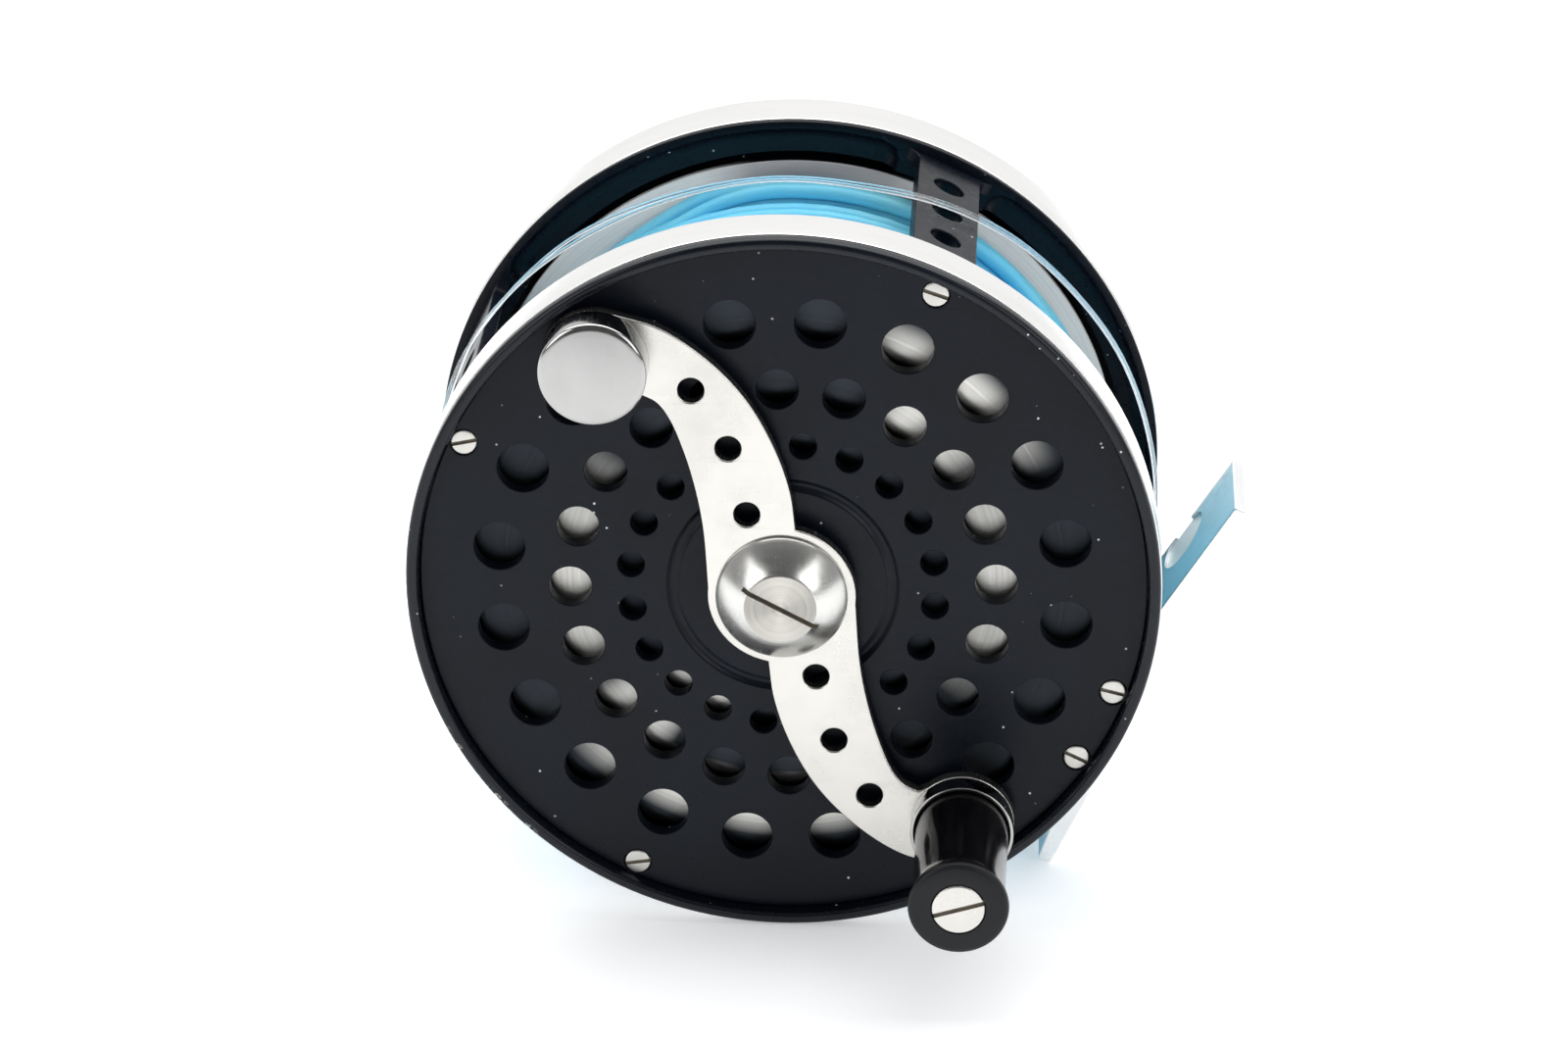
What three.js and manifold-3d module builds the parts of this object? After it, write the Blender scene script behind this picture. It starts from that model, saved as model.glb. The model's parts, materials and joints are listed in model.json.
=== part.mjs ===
// Fly fishing reel with an S-shaped crank, a ventilated side plate and a line-filled spool.
// Units are millimetres. The spool turns about Y, the crank side faces -Y, and +Z is up.
// The reel stands on the two rims of its frame and leans on the lower tip of its foot.
import * as THREE from 'three';
import { mergeVertices } from 'three/addons/utils/BufferGeometryUtils.js';
import Module from 'manifold-3d';

const wasm = await Module();
wasm.setup();

// ---- driving dimensions (depths are along Y, from the front plate's face) ----
const RIM_RADIUS = 47.5;
const RIM_SEGMENTS = 64;
const SPOOL_SEGMENTS = 48;
const FRONT_LIP_DEPTH = -2.0;
const FRONT_RIM_END = 6.5;
const REAR_RIM_START = 39.35;
const REAR_RIM_END = 47.8;
const BAND_WALL = 0.5;
const BAND_BEVEL = 0.5;
const FRONT_BAND_START = -0.3;
const FRONT_LIP_INSET = 0.1;
const FRONT_LIP_BEVEL = 0.4;
const REAR_LIP_INSET = 0.2;
const REAR_LIP_THICK = 0.3;
const REAR_RING_SET_BACK = 0.1;
// Gaps: between parts that touch on the real reel, in a running bearing, and in a tight fit.
const FIT_GAP = 0.3;
const RUN_GAP = 0.08;
const TIGHT_GAP = 0.05;
// How far a cutter runs past the face that it cuts.
const PAST = 1;
const WELD_DISTANCE = 1e-4;

const PLATE_RADIUS = 45.7;
const PLATE_THICK = 2.2;
const REAR_PLATE_FACE = 47.2;
const REAR_PLATE_THICK = 1.6;
const REAR_PLATE_START = REAR_PLATE_FACE - REAR_PLATE_THICK;
const FRAME_BORE = 42.6;

const HOLE_RINGS = [
  { count: 20, ring: 35.93, bore: 3.25, phase: 10.65, sides: 10 },
  { count: 20, ring: 26.79, bore: 2.68, phase: 19.65, sides: 8 },
  { count: 20, ring: 19.26, bore: 1.73, phase: 10.65, sides: 6 },
];
const GROOVE = { inner: 13.1, outer: 14.6, depth: 0.5 };

const FOOT_ANGLE = -25.2;
const PILLARS = [
  { name: 'pillar_top', angle: FOOT_ANGLE + 90 },
  { name: 'pillar_left', angle: FOOT_ANGLE + 180 },
  { name: 'pillar_bottom', angle: FOOT_ANGLE + 270 },
];
const PILLAR_WIDTH = 8.6;
const PILLAR_OUTER = 46.0;
const PILLAR_THICK = 1.7;
const PILLAR_START = FRONT_RIM_END;
const PILLAR_END = REAR_RIM_START - FIT_GAP;
const MID_DEPTH = (FRONT_RIM_END + REAR_RIM_START) / 2;
const PILLAR_HOLE_PITCH = 8.7;
const PILLAR_HOLE_RADIUS = 2.1;
const BRIDGE_WIDTH = 15;

const SCREW_RING = 44.0;
const FOOT_SCREW_SPREAD = 6.75;
const PLATE_SCREWS = [
  { name: 'top', angle: FOOT_ANGLE + 90, slot: -19 },
  { name: 'left', angle: FOOT_ANGLE + 180, slot: 12 },
  { name: 'bottom', angle: FOOT_ANGLE + 270, slot: 9 },
  { name: 'foot_upper', angle: FOOT_ANGLE + FOOT_SCREW_SPREAD, slot: -14 },
  { name: 'foot_lower', angle: FOOT_ANGLE - FOOT_SCREW_SPREAD, slot: -26 },
];
const SCREW_HEAD_RADIUS = 1.65;
const SCREW_HEAD_THICK = 1.1;
const REAR_HEAD_THICK = 0.9;
const SCREW_SHANK_RADIUS = 0.9;
const SCREW_LENGTH = 5.6;
const SCREW_HOLE_RADIUS = SCREW_SHANK_RADIUS + 0.2;
const SCREW_SEAT_RADIUS = SCREW_HEAD_RADIUS + 0.12;
const SCREW_SEAT_GAP = 0.1;
const SLOT_WIDTH = 0.55;
const SLOT_DEPTH = 0.5;

const FOOT = {
  depth: 23.95, width: 15, half: 28.35, outer: 51.3, tipInner: 49.5, rootInner: 47.05, root: 8.6, pad: 7.5,
};
const FOOT_RECESS = { along: 16.9, depth: 27.5, radius: 4.3, deep: 0.5 };
const FOOT_SCREW = {
  along: 4.6, head: 2.6, headThick: 1.4, shank: 1.4, tip: 44.7, sunk: 0.1, gap: 0.2,
  slotWidth: 0.8, slotDepth: 0.7, slotAngle: 30,
};

const SHAFT_RADIUS = 3.0;
const SHAFT_FRONT = -5.6;
const SHAFT_REAR = 46.9;
const BUSH = { radius: 4.7, collar: 5.9, front: -0.6, rearLength: 2.6 };
const FLANGE_RADIUS = 41.8;
const FLANGE_THICK = 1.6;
const FRONT_FLANGE = 2.9;
const REAR_FLANGE = REAR_RIM_START;
const ARBOR_RADIUS = 14;
const LINE_RADIUS = 40.0;
const LINE_EDGE = 0.6;

const ARM_FRONT = -3.2;
const ARM_THICK = 1.8;
const HUB_RADIUS = 9.3;
const ARM_END = new THREE.Vector2(-23.0, 31.4);
const ARM_END_RADIUS = 6.6;
const ARM_HOLES = [[11.9, 111.4], [21.07, 108.4], [29.9, 112.0]];
const ARM_HOLE_RADIUS = 1.65;
const NUT = {
  base: 8.3, edge: 0.4, height: 3.85, slotLength: 10.7, slotWidth: 0.65, slotDepth: 1.0, slotAngle: -28,
};
// The nut's flat top and the cone round it: distance from the axis, distance behind the top.
const NUT_CONE = [[4.55, 0], [6.1, 0.75], [7.4, 2.0], [8.1, 3.1]];
const WEIGHT = { radius: 6.7, height: 4.5, dome: 0.5, bevel: 0.4 };
const CUP = { outer: 6.55, inner: 6.15, height: 3.0, floor: 0.5 };
const SPINDLE = {
  radius: 1.8, head: 3.3, headThick: 1.6, front: -26.1, gap: 0.1,
  slotWidth: 0.8, slotDepth: 0.8, slotAngle: 17,
};
const KNOB_PROFILE = [
  [5.9, -4.0], [5.9, -7.0], [5.55, -10.5], [5.15, -14.5], [4.95, -18.5],
  [5.1, -21.0], [5.7, -23.4], [6.2, -24.6], [6.3, -25.2], [6.1, -25.8], [5.6, -26.0],
];

const GEAR = { teeth: 24, tip: 9.6, root: 8.2, start: 41.5, thick: 1.8 };
const PAWL = {
  pivot: 17.0, tip: 9.8, shoulder: 12.2, neck: 1.1, boss: 2.6, tail: 20.5, tailHalf: 2.0,
  start: 41.6, thick: 1.6, post: 1.2,
};
// The leaf spring, seen along the spool axis: its middle rests just above the pawl's tail.
const SPRING = { thick: 0.4, start: 41.7, width: 1.4 };
const SPRING_UNDERSIDE = [[-11.4, 20.2], [0, 21.4], [13, 20.8]];
const SPRING_TOPSIDE = [[13, 21.2], [0, 21.8], [-12, 21.0]];
const SPRING_TAB = [[-13, 15.4], [-12.6, 15.4]];
const TENSION = {
  x: -11.0, z: 24.6, cam: 2.2, flat: 1.4, camThick: 1.6, stem: 1.4, socket: 1.0,
  knob: 5.0, flutes: 24, fluteDepth: 0.35, start: 47.6, end: 51.9,
};

const LEADER_RADIUS = 0.25;
const LEADER_STEPS = 80;
// Angle in degrees, distance from the axis, depth: from the winding, out between two pillars,
// and twice round the outside of the pillars.
const LEADER_ROUTE = [
  [176, 40.7, 25.0], [186, 40.9, 25.2], [198, 42.0, 25.6], [210, 44.0, 25.9], [222, 46.2, 26.2],
  [233, 47.0, 26.6], [252, 46.9, 27.4], [276, 46.8, 29.2], [300, 46.9, 31.2], [318, 47.2, 32.2],
  [335, 47.2, 32.3], [351, 47.2, 31.0], [367, 46.8, 28.9], [387, 46.6, 27.4], [409, 46.7, 24.8],
  [424, 46.8, 22.6], [437, 46.7, 20.4], [453, 46.6, 20.3], [470, 46.6, 19.4], [487, 46.6, 20.2],
  [501, 46.7, 22.3], [514, 46.8, 23.3], [540, 46.7, 24.4], [572, 46.7, 25.6], [605, 46.9, 26.5],
  [636, 46.9, 28.2], [664, 47.1, 32.2], [695, 47.2, 33.4], [714, 47.1, 31.6], [729, 46.8, 29.7],
  [748, 46.6, 28.2], [770, 46.7, 25.7], [785, 46.8, 23.5], [799, 46.7, 21.2], [814, 46.6, 21.1],
  [832, 46.6, 20.8], [850, 46.7, 22.4], [874, 46.8, 24.6], [888, 46.7, 25.4], [900, 46.6, 26.0],
];

// ---- materials ----
const blackAnodised = new THREE.MeshStandardMaterial({ color: 0x23262b, roughness: 0.45, metalness: 0.6 });
const polished = new THREE.MeshStandardMaterial({ color: 0xe6e4df, roughness: 0.2, metalness: 1.0 });
const nickelSilver = new THREE.MeshStandardMaterial({ color: 0xdcd7cc, roughness: 0.25, metalness: 1.0 });
const steel = new THREE.MeshStandardMaterial({ color: 0xb9b9b4, roughness: 0.35, metalness: 1.0 });
const brass = new THREE.MeshStandardMaterial({ color: 0xb08d4a, roughness: 0.35, metalness: 1.0 });
const horn = new THREE.MeshStandardMaterial({ color: 0x151516, roughness: 0.2, metalness: 0.0 });
const lineBlue = new THREE.MeshStandardMaterial({ color: 0x69b4e0, roughness: 0.45, metalness: 0.0 });
const clearMono = new THREE.MeshStandardMaterial({ color: 0xe4eef2, roughness: 0.15, metalness: 0.0 });

const reel = new THREE.Group();

// ---- helpers ----
const radians = THREE.MathUtils.degToRad;

function toSolid(geometry) {
  const bare = geometry.clone();
  bare.deleteAttribute('normal');
  bare.deleteAttribute('uv');
  const merged = mergeVertices(bare, WELD_DISTANCE);
  return new wasm.Manifold(new wasm.Mesh({
    numProp: 3,
    vertProperties: new Float32Array(merged.attributes.position.array),
    triVerts: new Uint32Array(merged.index.array),
  }));
}

function toGeometry(solid) {
  const mesh = solid.getMesh();
  const geometry = new THREE.BufferGeometry();
  geometry.setAttribute('position', new THREE.BufferAttribute(mesh.vertProperties, 3));
  geometry.setIndex(new THREE.BufferAttribute(mesh.triVerts, 1));
  geometry.computeVertexNormals();
  return geometry;
}

function cut(geometry, ...tools) {
  return toGeometry(tools.reduce((solid, tool) => solid.subtract(toSolid(tool)), toSolid(geometry)));
}

function add(parent, name, geometry, material) {
  const mesh = new THREE.Mesh(geometry, material);
  mesh.name = name;
  parent.add(mesh);
  return mesh;
}

// A profile of [radius, depth] points, turned about Y. Counter-clockwise points give outward faces.
function revolve(profile, segments = RIM_SEGMENTS, closed = true) {
  const points = profile.map(([radius, depth]) => new THREE.Vector2(radius, depth));
  if (closed) points.push(points[0].clone());
  return new THREE.LatheGeometry(points, segments);
}

function tube(inner, outer, start, end, segments = RIM_SEGMENTS) {
  return revolve([[inner, start], [outer, start], [outer, end], [inner, end]], segments);
}

function rod(radius, start, end, segments = 16) {
  return revolve([[0, start], [radius, start], [radius, end], [0, end]], segments, false);
}

// A shape drawn in X and Z, given thickness along Y from start.
function slab(shape, start, thick, curveSegments = 12) {
  const geometry = new THREE.ExtrudeGeometry(shape, { depth: thick, bevelEnabled: false, curveSegments });
  return geometry.rotateX(Math.PI / 2).translate(0, start + thick, 0);
}

function station(angle) {
  const group = new THREE.Group();
  group.rotation.y = -radians(angle);
  reel.add(group);
  return group;
}

function onCircle(radius, angle) {
  return new THREE.Vector2(radius * Math.cos(radians(angle)), radius * Math.sin(radians(angle)));
}

// A many-sided path in place of a circle.
function roundPath(radius, sides, at = new THREE.Vector2(0, 0), Kind = THREE.Path) {
  const path = new Kind();
  for (let side = 0; side < sides; side += 1) {
    const corner = onCircle(radius, (360 * side) / sides).add(at);
    if (side === 0) path.moveTo(corner.x, corner.y);
    else path.lineTo(corner.x, corner.y);
  }
  path.closePath();
  return path;
}

// One copy of a cutter at each plate screw.
function onScrewRing(makeTool) {
  return PLATE_SCREWS.map(({ angle }) => {
    const at = onCircle(SCREW_RING, angle);
    return makeTool().translate(at.x, 0, at.y);
  });
}

// A slot cutter across a screw head that faces -Y.
function slotCutter(width, length, front, depth, angle) {
  return new THREE.BoxGeometry(length, 2 * depth, width).rotateY(-radians(angle)).translate(0, front, 0);
}

// ---- frame rings and their polished bands ----
function frontRings() {
  const lip = RIM_RADIUS - FRONT_LIP_INSET;
  const seat = RIM_RADIUS - BAND_WALL - FIT_GAP;
  const shelf = PLATE_THICK + FIT_GAP;
  const back = FRONT_RIM_END - FIT_GAP;
  const recess = PLATE_RADIUS + FIT_GAP;
  const bevelled = FRONT_LIP_DEPTH + FRONT_LIP_BEVEL;
  const step = FRONT_BAND_START - FIT_GAP;
  const ring = revolve([
    [recess + FRONT_LIP_BEVEL, FRONT_LIP_DEPTH], [lip - FRONT_LIP_BEVEL, FRONT_LIP_DEPTH], [lip, bevelled],
    [lip, step], [seat, step], [seat, back], [FRAME_BORE, back], [FRAME_BORE, shelf], [recess, shelf],
    [recess, bevelled],
  ]);
  const holes = onScrewRing(() => rod(SCREW_HOLE_RADIUS, shelf - PAST, back + PAST, 8));
  add(reel, 'front_frame_ring', cut(ring, ...holes), blackAnodised);
  const band = tube(RIM_RADIUS - BAND_WALL, RIM_RADIUS, FRONT_BAND_START, FRONT_RIM_END);
  add(reel, 'front_rim_band', band, polished);
}

function rearRings() {
  const lip = RIM_RADIUS - REAR_LIP_INSET;
  const seat = RIM_RADIUS - BAND_WALL - FIT_GAP;
  const recess = PLATE_RADIUS + FIT_GAP;
  const shelf = REAR_PLATE_START - FIT_GAP;
  const lipEnd = REAR_RIM_START + REAR_LIP_THICK;
  const ringEnd = REAR_PLATE_FACE - REAR_RING_SET_BACK;
  const ring = revolve([
    [FRAME_BORE, REAR_RIM_START], [lip, REAR_RIM_START], [lip, lipEnd], [seat, lipEnd], [seat, ringEnd],
    [recess, ringEnd], [recess, shelf], [FRAME_BORE, shelf],
  ]);
  const holeEnd = REAR_PLATE_FACE - SCREW_LENGTH - FIT_GAP;
  const holes = onScrewRing(() => rod(SCREW_HOLE_RADIUS, holeEnd, shelf + PAST, 8));
  add(reel, 'rear_frame_ring', cut(ring, ...holes), blackAnodised);
  const inner = RIM_RADIUS - BAND_WALL;
  const bandStart = lipEnd + FIT_GAP;
  const turnedIn = ringEnd + FIT_GAP;
  add(reel, 'rear_rim_band', revolve([
    [inner, bandStart], [RIM_RADIUS, bandStart], [RIM_RADIUS, REAR_RIM_END - BAND_BEVEL],
    [RIM_RADIUS - BAND_BEVEL, REAR_RIM_END], [recess, REAR_RIM_END], [recess, turnedIn], [inner, turnedIn],
  ]), polished);
}

// ---- side plates ----
function frontPlate() {
  const outline = roundPath(PLATE_RADIUS, RIM_SEGMENTS, new THREE.Vector2(0, 0), THREE.Shape);
  for (const { count, ring, bore, phase, sides } of HOLE_RINGS) {
    for (let index = 0; index < count; index += 1) {
      outline.holes.push(roundPath(bore, sides, onCircle(ring, phase + (360 * index) / count)));
    }
  }
  outline.holes.push(roundPath(BUSH.radius + FIT_GAP, 24));
  const groove = tube(GROOVE.inner, GROOVE.outer, -PAST, GROOVE.depth, 32);
  const seatFloor = SCREW_HEAD_THICK + SCREW_SEAT_GAP;
  const through = PLATE_THICK + PAST;
  const seats = onScrewRing(() => revolve([
    [0, -PAST], [SCREW_SEAT_RADIUS, -PAST], [SCREW_SEAT_RADIUS, seatFloor], [SCREW_HOLE_RADIUS, seatFloor],
    [SCREW_HOLE_RADIUS, through], [0, through],
  ], 12, false));
  add(reel, 'front_plate', cut(slab(outline, 0, PLATE_THICK), groove, ...seats), blackAnodised);
}

function rearPlate() {
  const plate = tube(BUSH.radius + FIT_GAP, PLATE_RADIUS, REAR_PLATE_START, REAR_PLATE_FACE);
  const inside = REAR_PLATE_START - PAST;
  const outside = REAR_PLATE_FACE + PAST;
  const seatFloor = REAR_PLATE_FACE - REAR_HEAD_THICK - SCREW_SEAT_GAP;
  const seats = onScrewRing(() => revolve([
    [0, inside], [SCREW_HOLE_RADIUS, inside], [SCREW_HOLE_RADIUS, seatFloor], [SCREW_SEAT_RADIUS, seatFloor],
    [SCREW_SEAT_RADIUS, outside], [0, outside],
  ], 12, false));
  const stemHole = rod(TENSION.stem + RUN_GAP, inside, outside).translate(TENSION.x, 0, TENSION.z);
  add(reel, 'rear_plate', cut(plate, stemHole, ...seats), blackAnodised);
}

// ---- plate screws ----
function plateScrew(headThick, slotAngle) {
  const blank = revolve([
    [0, 0], [SCREW_HEAD_RADIUS, 0], [SCREW_HEAD_RADIUS, headThick], [SCREW_SHANK_RADIUS, headThick],
    [SCREW_SHANK_RADIUS, SCREW_LENGTH], [0, SCREW_LENGTH],
  ], 10, false);
  return cut(blank, slotCutter(SLOT_WIDTH, 3 * SCREW_HEAD_RADIUS, 0, SLOT_DEPTH, slotAngle));
}

function plateScrews() {
  for (const { name, angle, slot } of PLATE_SCREWS) {
    const at = onCircle(SCREW_RING, angle);
    add(reel, `front_screw_${name}`, plateScrew(SCREW_HEAD_THICK, slot), steel).position.set(at.x, 0, at.y);
    const back = add(reel, `rear_screw_${name}`, plateScrew(REAR_HEAD_THICK, slot), steel);
    back.rotation.z = Math.PI;
    back.position.set(at.x, REAR_PLATE_FACE, at.y);
  }
}

// ---- pillars, foot bridge and foot ----
function strap(width, holes) {
  const length = PILLAR_END - PILLAR_START;
  const bar = new THREE.BoxGeometry(PILLAR_THICK, length, width);
  bar.translate(PILLAR_OUTER - PILLAR_THICK / 2, (PILLAR_START + PILLAR_END) / 2, 0);
  const drillLength = 2 * (PILLAR_THICK + PAST);
  const drills = holes.map(({ radius, depth, along }) => {
    const drill = new THREE.CylinderGeometry(radius, radius, drillLength, 12);
    return drill.rotateZ(Math.PI / 2).translate(PILLAR_OUTER, depth, along);
  });
  return cut(bar, ...drills);
}

function pillars() {
  const holes = [-1, 0, 1].map((step) => (
    { radius: PILLAR_HOLE_RADIUS, depth: MID_DEPTH + step * PILLAR_HOLE_PITCH, along: 0 }));
  for (const { name, angle } of PILLARS) {
    add(station(angle), name, strap(PILLAR_WIDTH, holes), blackAnodised);
  }
}

function footGroup() {
  const side = station(FOOT_ANGLE);
  const bolts = [-FOOT_SCREW.along, FOOT_SCREW.along];
  const holeRadius = FOOT_SCREW.shank + FOOT_SCREW.gap;
  const holes = bolts.map((along) => ({ radius: holeRadius, depth: MID_DEPTH, along }));
  add(side, 'foot_bridge', strap(BRIDGE_WIDTH, holes), blackAnodised);

  const padInner = PILLAR_OUTER + FIT_GAP;
  const outline = new THREE.Shape([
    [FOOT.outer, -FOOT.half], [FOOT.outer, FOOT.half], [FOOT.tipInner, FOOT.half],
    [FOOT.rootInner, FOOT.root], [padInner, FOOT.pad], [padInner, -FOOT.pad],
    [FOOT.rootInner, -FOOT.root], [FOOT.tipInner, -FOOT.half],
  ].map(([out, along]) => new THREE.Vector2(out, along)));
  const bar = slab(outline, FOOT.depth - FOOT.width / 2, FOOT.width);
  // The recess is milled square to the sloping inner face of the upper wing.
  const rise = (FOOT.tipInner - FOOT.rootInner) / (FOOT.half - FOOT.root);
  const face = FOOT.rootInner + rise * (FOOT_RECESS.along - FOOT.root);
  const recess = new THREE.CylinderGeometry(FOOT_RECESS.radius, FOOT_RECESS.radius, 2 * FOOT_RECESS.deep, 24)
    .rotateZ(Math.PI / 2).rotateY(Math.atan(rise)).translate(face, FOOT_RECESS.depth, FOOT_RECESS.along);
  const head = FOOT.outer - FOOT_SCREW.sunk;
  const seatFloor = head - FOOT_SCREW.headThick - TIGHT_GAP;
  const seatRadius = FOOT_SCREW.head + FOOT_SCREW.gap;
  const seats = bolts.map((along) => revolve([
    [0, padInner - PAST], [holeRadius, padInner - PAST], [holeRadius, seatFloor], [seatRadius, seatFloor],
    [seatRadius, FOOT.outer + PAST], [0, FOOT.outer + PAST],
  ], 16, false).rotateZ(-Math.PI / 2).translate(0, MID_DEPTH, along));
  add(side, 'foot', cut(bar, recess, ...seats), polished);

  const length = head - FOOT_SCREW.tip;
  const { head: headRadius, headThick, shank, slotWidth, slotDepth, slotAngle } = FOOT_SCREW;
  const screw = revolve([
    [0, 0], [headRadius, 0], [headRadius, headThick], [shank, headThick], [shank, length], [0, length],
  ], 16, false);
  const slotted = cut(screw, slotCutter(slotWidth, 3 * headRadius, 0, slotDepth, slotAngle));
  ['foot_screw_lower', 'foot_screw_upper'].forEach((name, index) => {
    const mesh = add(side, name, slotted, steel);
    mesh.rotation.z = Math.PI / 2;
    mesh.position.set(head, MID_DEPTH, bolts[index]);
  });
}

// ---- bearings ----
function bushings() {
  const bore = SHAFT_RADIUS + RUN_GAP;
  const front = revolve([
    [bore, BUSH.front], [BUSH.collar, BUSH.front], [BUSH.collar, -TIGHT_GAP], [BUSH.radius, -TIGHT_GAP],
    [BUSH.radius, PLATE_THICK], [bore, PLATE_THICK],
  ], 32);
  add(reel, 'front_bushing', front, brass);
  const rear = tube(bore, BUSH.radius, REAR_PLATE_FACE - BUSH.rearLength, REAR_PLATE_FACE, 32);
  add(reel, 'rear_bushing', rear, brass);
}

// ---- spool ----
function spool() {
  const bore = SHAFT_RADIUS + TIGHT_GAP;
  add(reel, 'spool_shaft', rod(SHAFT_RADIUS, SHAFT_FRONT, SHAFT_REAR, 32), steel);
  const flange = (start) => tube(bore, FLANGE_RADIUS, start, start + FLANGE_THICK, SPOOL_SEGMENTS);
  add(reel, 'spool_front_flange', flange(FRONT_FLANGE), polished);
  add(reel, 'spool_rear_flange', flange(REAR_FLANGE), polished);
  const start = FRONT_FLANGE + FLANGE_THICK + TIGHT_GAP;
  const end = REAR_FLANGE - TIGHT_GAP;
  add(reel, 'spool_arbor', tube(bore, ARBOR_RADIUS, start, end, 32), polished);
  const inner = ARBOR_RADIUS + FIT_GAP;
  const lineStart = start + FIT_GAP;
  const lineEnd = end - FIT_GAP;
  add(reel, 'line_winding', revolve([
    [inner, lineStart], [LINE_RADIUS - LINE_EDGE, lineStart], [LINE_RADIUS, lineStart + LINE_EDGE],
    [LINE_RADIUS, lineEnd - LINE_EDGE], [LINE_RADIUS - LINE_EDGE, lineEnd], [inner, lineEnd],
  ], SPOOL_SEGMENTS), lineBlue);
}

// ---- click check between the spool and the rear plate ----
function clickCheck() {
  const outline = new THREE.Shape();
  const pitch = 360 / GEAR.teeth;
  for (let tooth = 0; tooth < GEAR.teeth; tooth += 1) {
    const valley = onCircle(GEAR.root, (tooth - 0.5) * pitch);
    const crest = onCircle(GEAR.tip, tooth * pitch);
    if (tooth === 0) outline.moveTo(valley.x, valley.y);
    else outline.lineTo(valley.x, valley.y);
    outline.lineTo(crest.x, crest.y);
  }
  outline.closePath();
  outline.holes.push(roundPath(SHAFT_RADIUS + TIGHT_GAP, 24));
  add(reel, 'click_gear', slab(outline, GEAR.start, GEAR.thick), brass);

  const pawl = new THREE.Shape([
    [0, PAWL.tip], [PAWL.neck, PAWL.shoulder], [PAWL.boss, PAWL.pivot], [PAWL.tailHalf, PAWL.tail],
    [-PAWL.tailHalf, PAWL.tail], [-PAWL.boss, PAWL.pivot], [-PAWL.neck, PAWL.shoulder],
  ].map(([x, z]) => new THREE.Vector2(x, z)));
  pawl.holes.push(roundPath(PAWL.post + RUN_GAP, 16, new THREE.Vector2(0, PAWL.pivot)));
  add(reel, 'click_pawl', slab(pawl, PAWL.start, PAWL.thick, 8), steel);

  const post = rod(PAWL.post, PAWL.start - FIT_GAP, REAR_PLATE_START - TIGHT_GAP).translate(0, 0, PAWL.pivot);
  add(reel, 'pawl_post', post, steel);

  const leaf = [...SPRING_TAB, ...SPRING_UNDERSIDE, ...SPRING_TOPSIDE];
  const leafShape = new THREE.Shape(leaf.map(([x, z]) => new THREE.Vector2(x, z)));
  add(reel, 'click_spring', slab(leafShape, SPRING.start, SPRING.width), steel);
}

function tensionKnob() {
  const cam = new THREE.Shape();
  const flatAngle = THREE.MathUtils.radToDeg(Math.asin(TENSION.flat / TENSION.cam));
  cam.absarc(0, 0, TENSION.cam, -radians(flatAngle), radians(180 + flatAngle), false);
  const camSlab = slab(cam, PAWL.start, TENSION.camThick);
  const stemEnd = TENSION.start + TENSION.socket;
  const stem = rod(TENSION.stem, PAWL.start + TENSION.camThick / 2, stemEnd);
  const camAndStem = toGeometry(toSolid(camSlab).add(toSolid(stem)));

  const grip = new THREE.Shape();
  for (let corner = 0; corner < 2 * TENSION.flutes; corner += 1) {
    const at = onCircle(TENSION.knob - (corner % 2) * TENSION.fluteDepth, (180 * corner) / TENSION.flutes);
    if (corner === 0) grip.moveTo(at.x, at.y);
    else grip.lineTo(at.x, at.y);
  }
  grip.closePath();
  const bore = rod(TENSION.stem + TIGHT_GAP, TENSION.start - PAST, stemEnd + TIGHT_GAP);
  const gripSlab = slab(grip, TENSION.start, TENSION.end - TENSION.start);
  add(reel, 'tension_cam', camAndStem, steel).position.set(TENSION.x, 0, TENSION.z);
  add(reel, 'tension_knob', cut(gripSlab, bore), polished).position.set(TENSION.x, 0, TENSION.z);
}

// ---- S-shaped crank ----
// The outline is one half, from the hub to the end of its arm, and the same half turned by 180 degrees.
function armOutline() {
  const outward = new THREE.SplineCurve([
    [1.7, 9.15], [1.0, 14.4], [-1.1, 20.7], [-4.5, 26.8], [-9.3, 32.0], [-15.0, 35.9], [-21.0, 37.7],
  ].map(([x, z]) => new THREE.Vector2(x, z)));
  const inward = new THREE.SplineCurve([
    [-17.4, 27.0], [-15.5, 26.0], [-13.9, 23.8], [-11.9, 18.6], [-10.6, 13.6], [-9.8, 8.8], [-9.25, 1.0],
  ].map(([x, z]) => new THREE.Vector2(x, z)));
  const half = [
    ...outward.getPoints(9),
    ...new THREE.Path().absarc(ARM_END.x, ARM_END.y, ARM_END_RADIUS, radians(78), radians(312)).getPoints(11),
    ...inward.getPoints(9),
    ...new THREE.Path().absarc(0, 0, HUB_RADIUS, radians(180), radians(254)).getPoints(5),
  ];
  return [...half, ...half.map((point) => point.clone().negate())];
}

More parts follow.
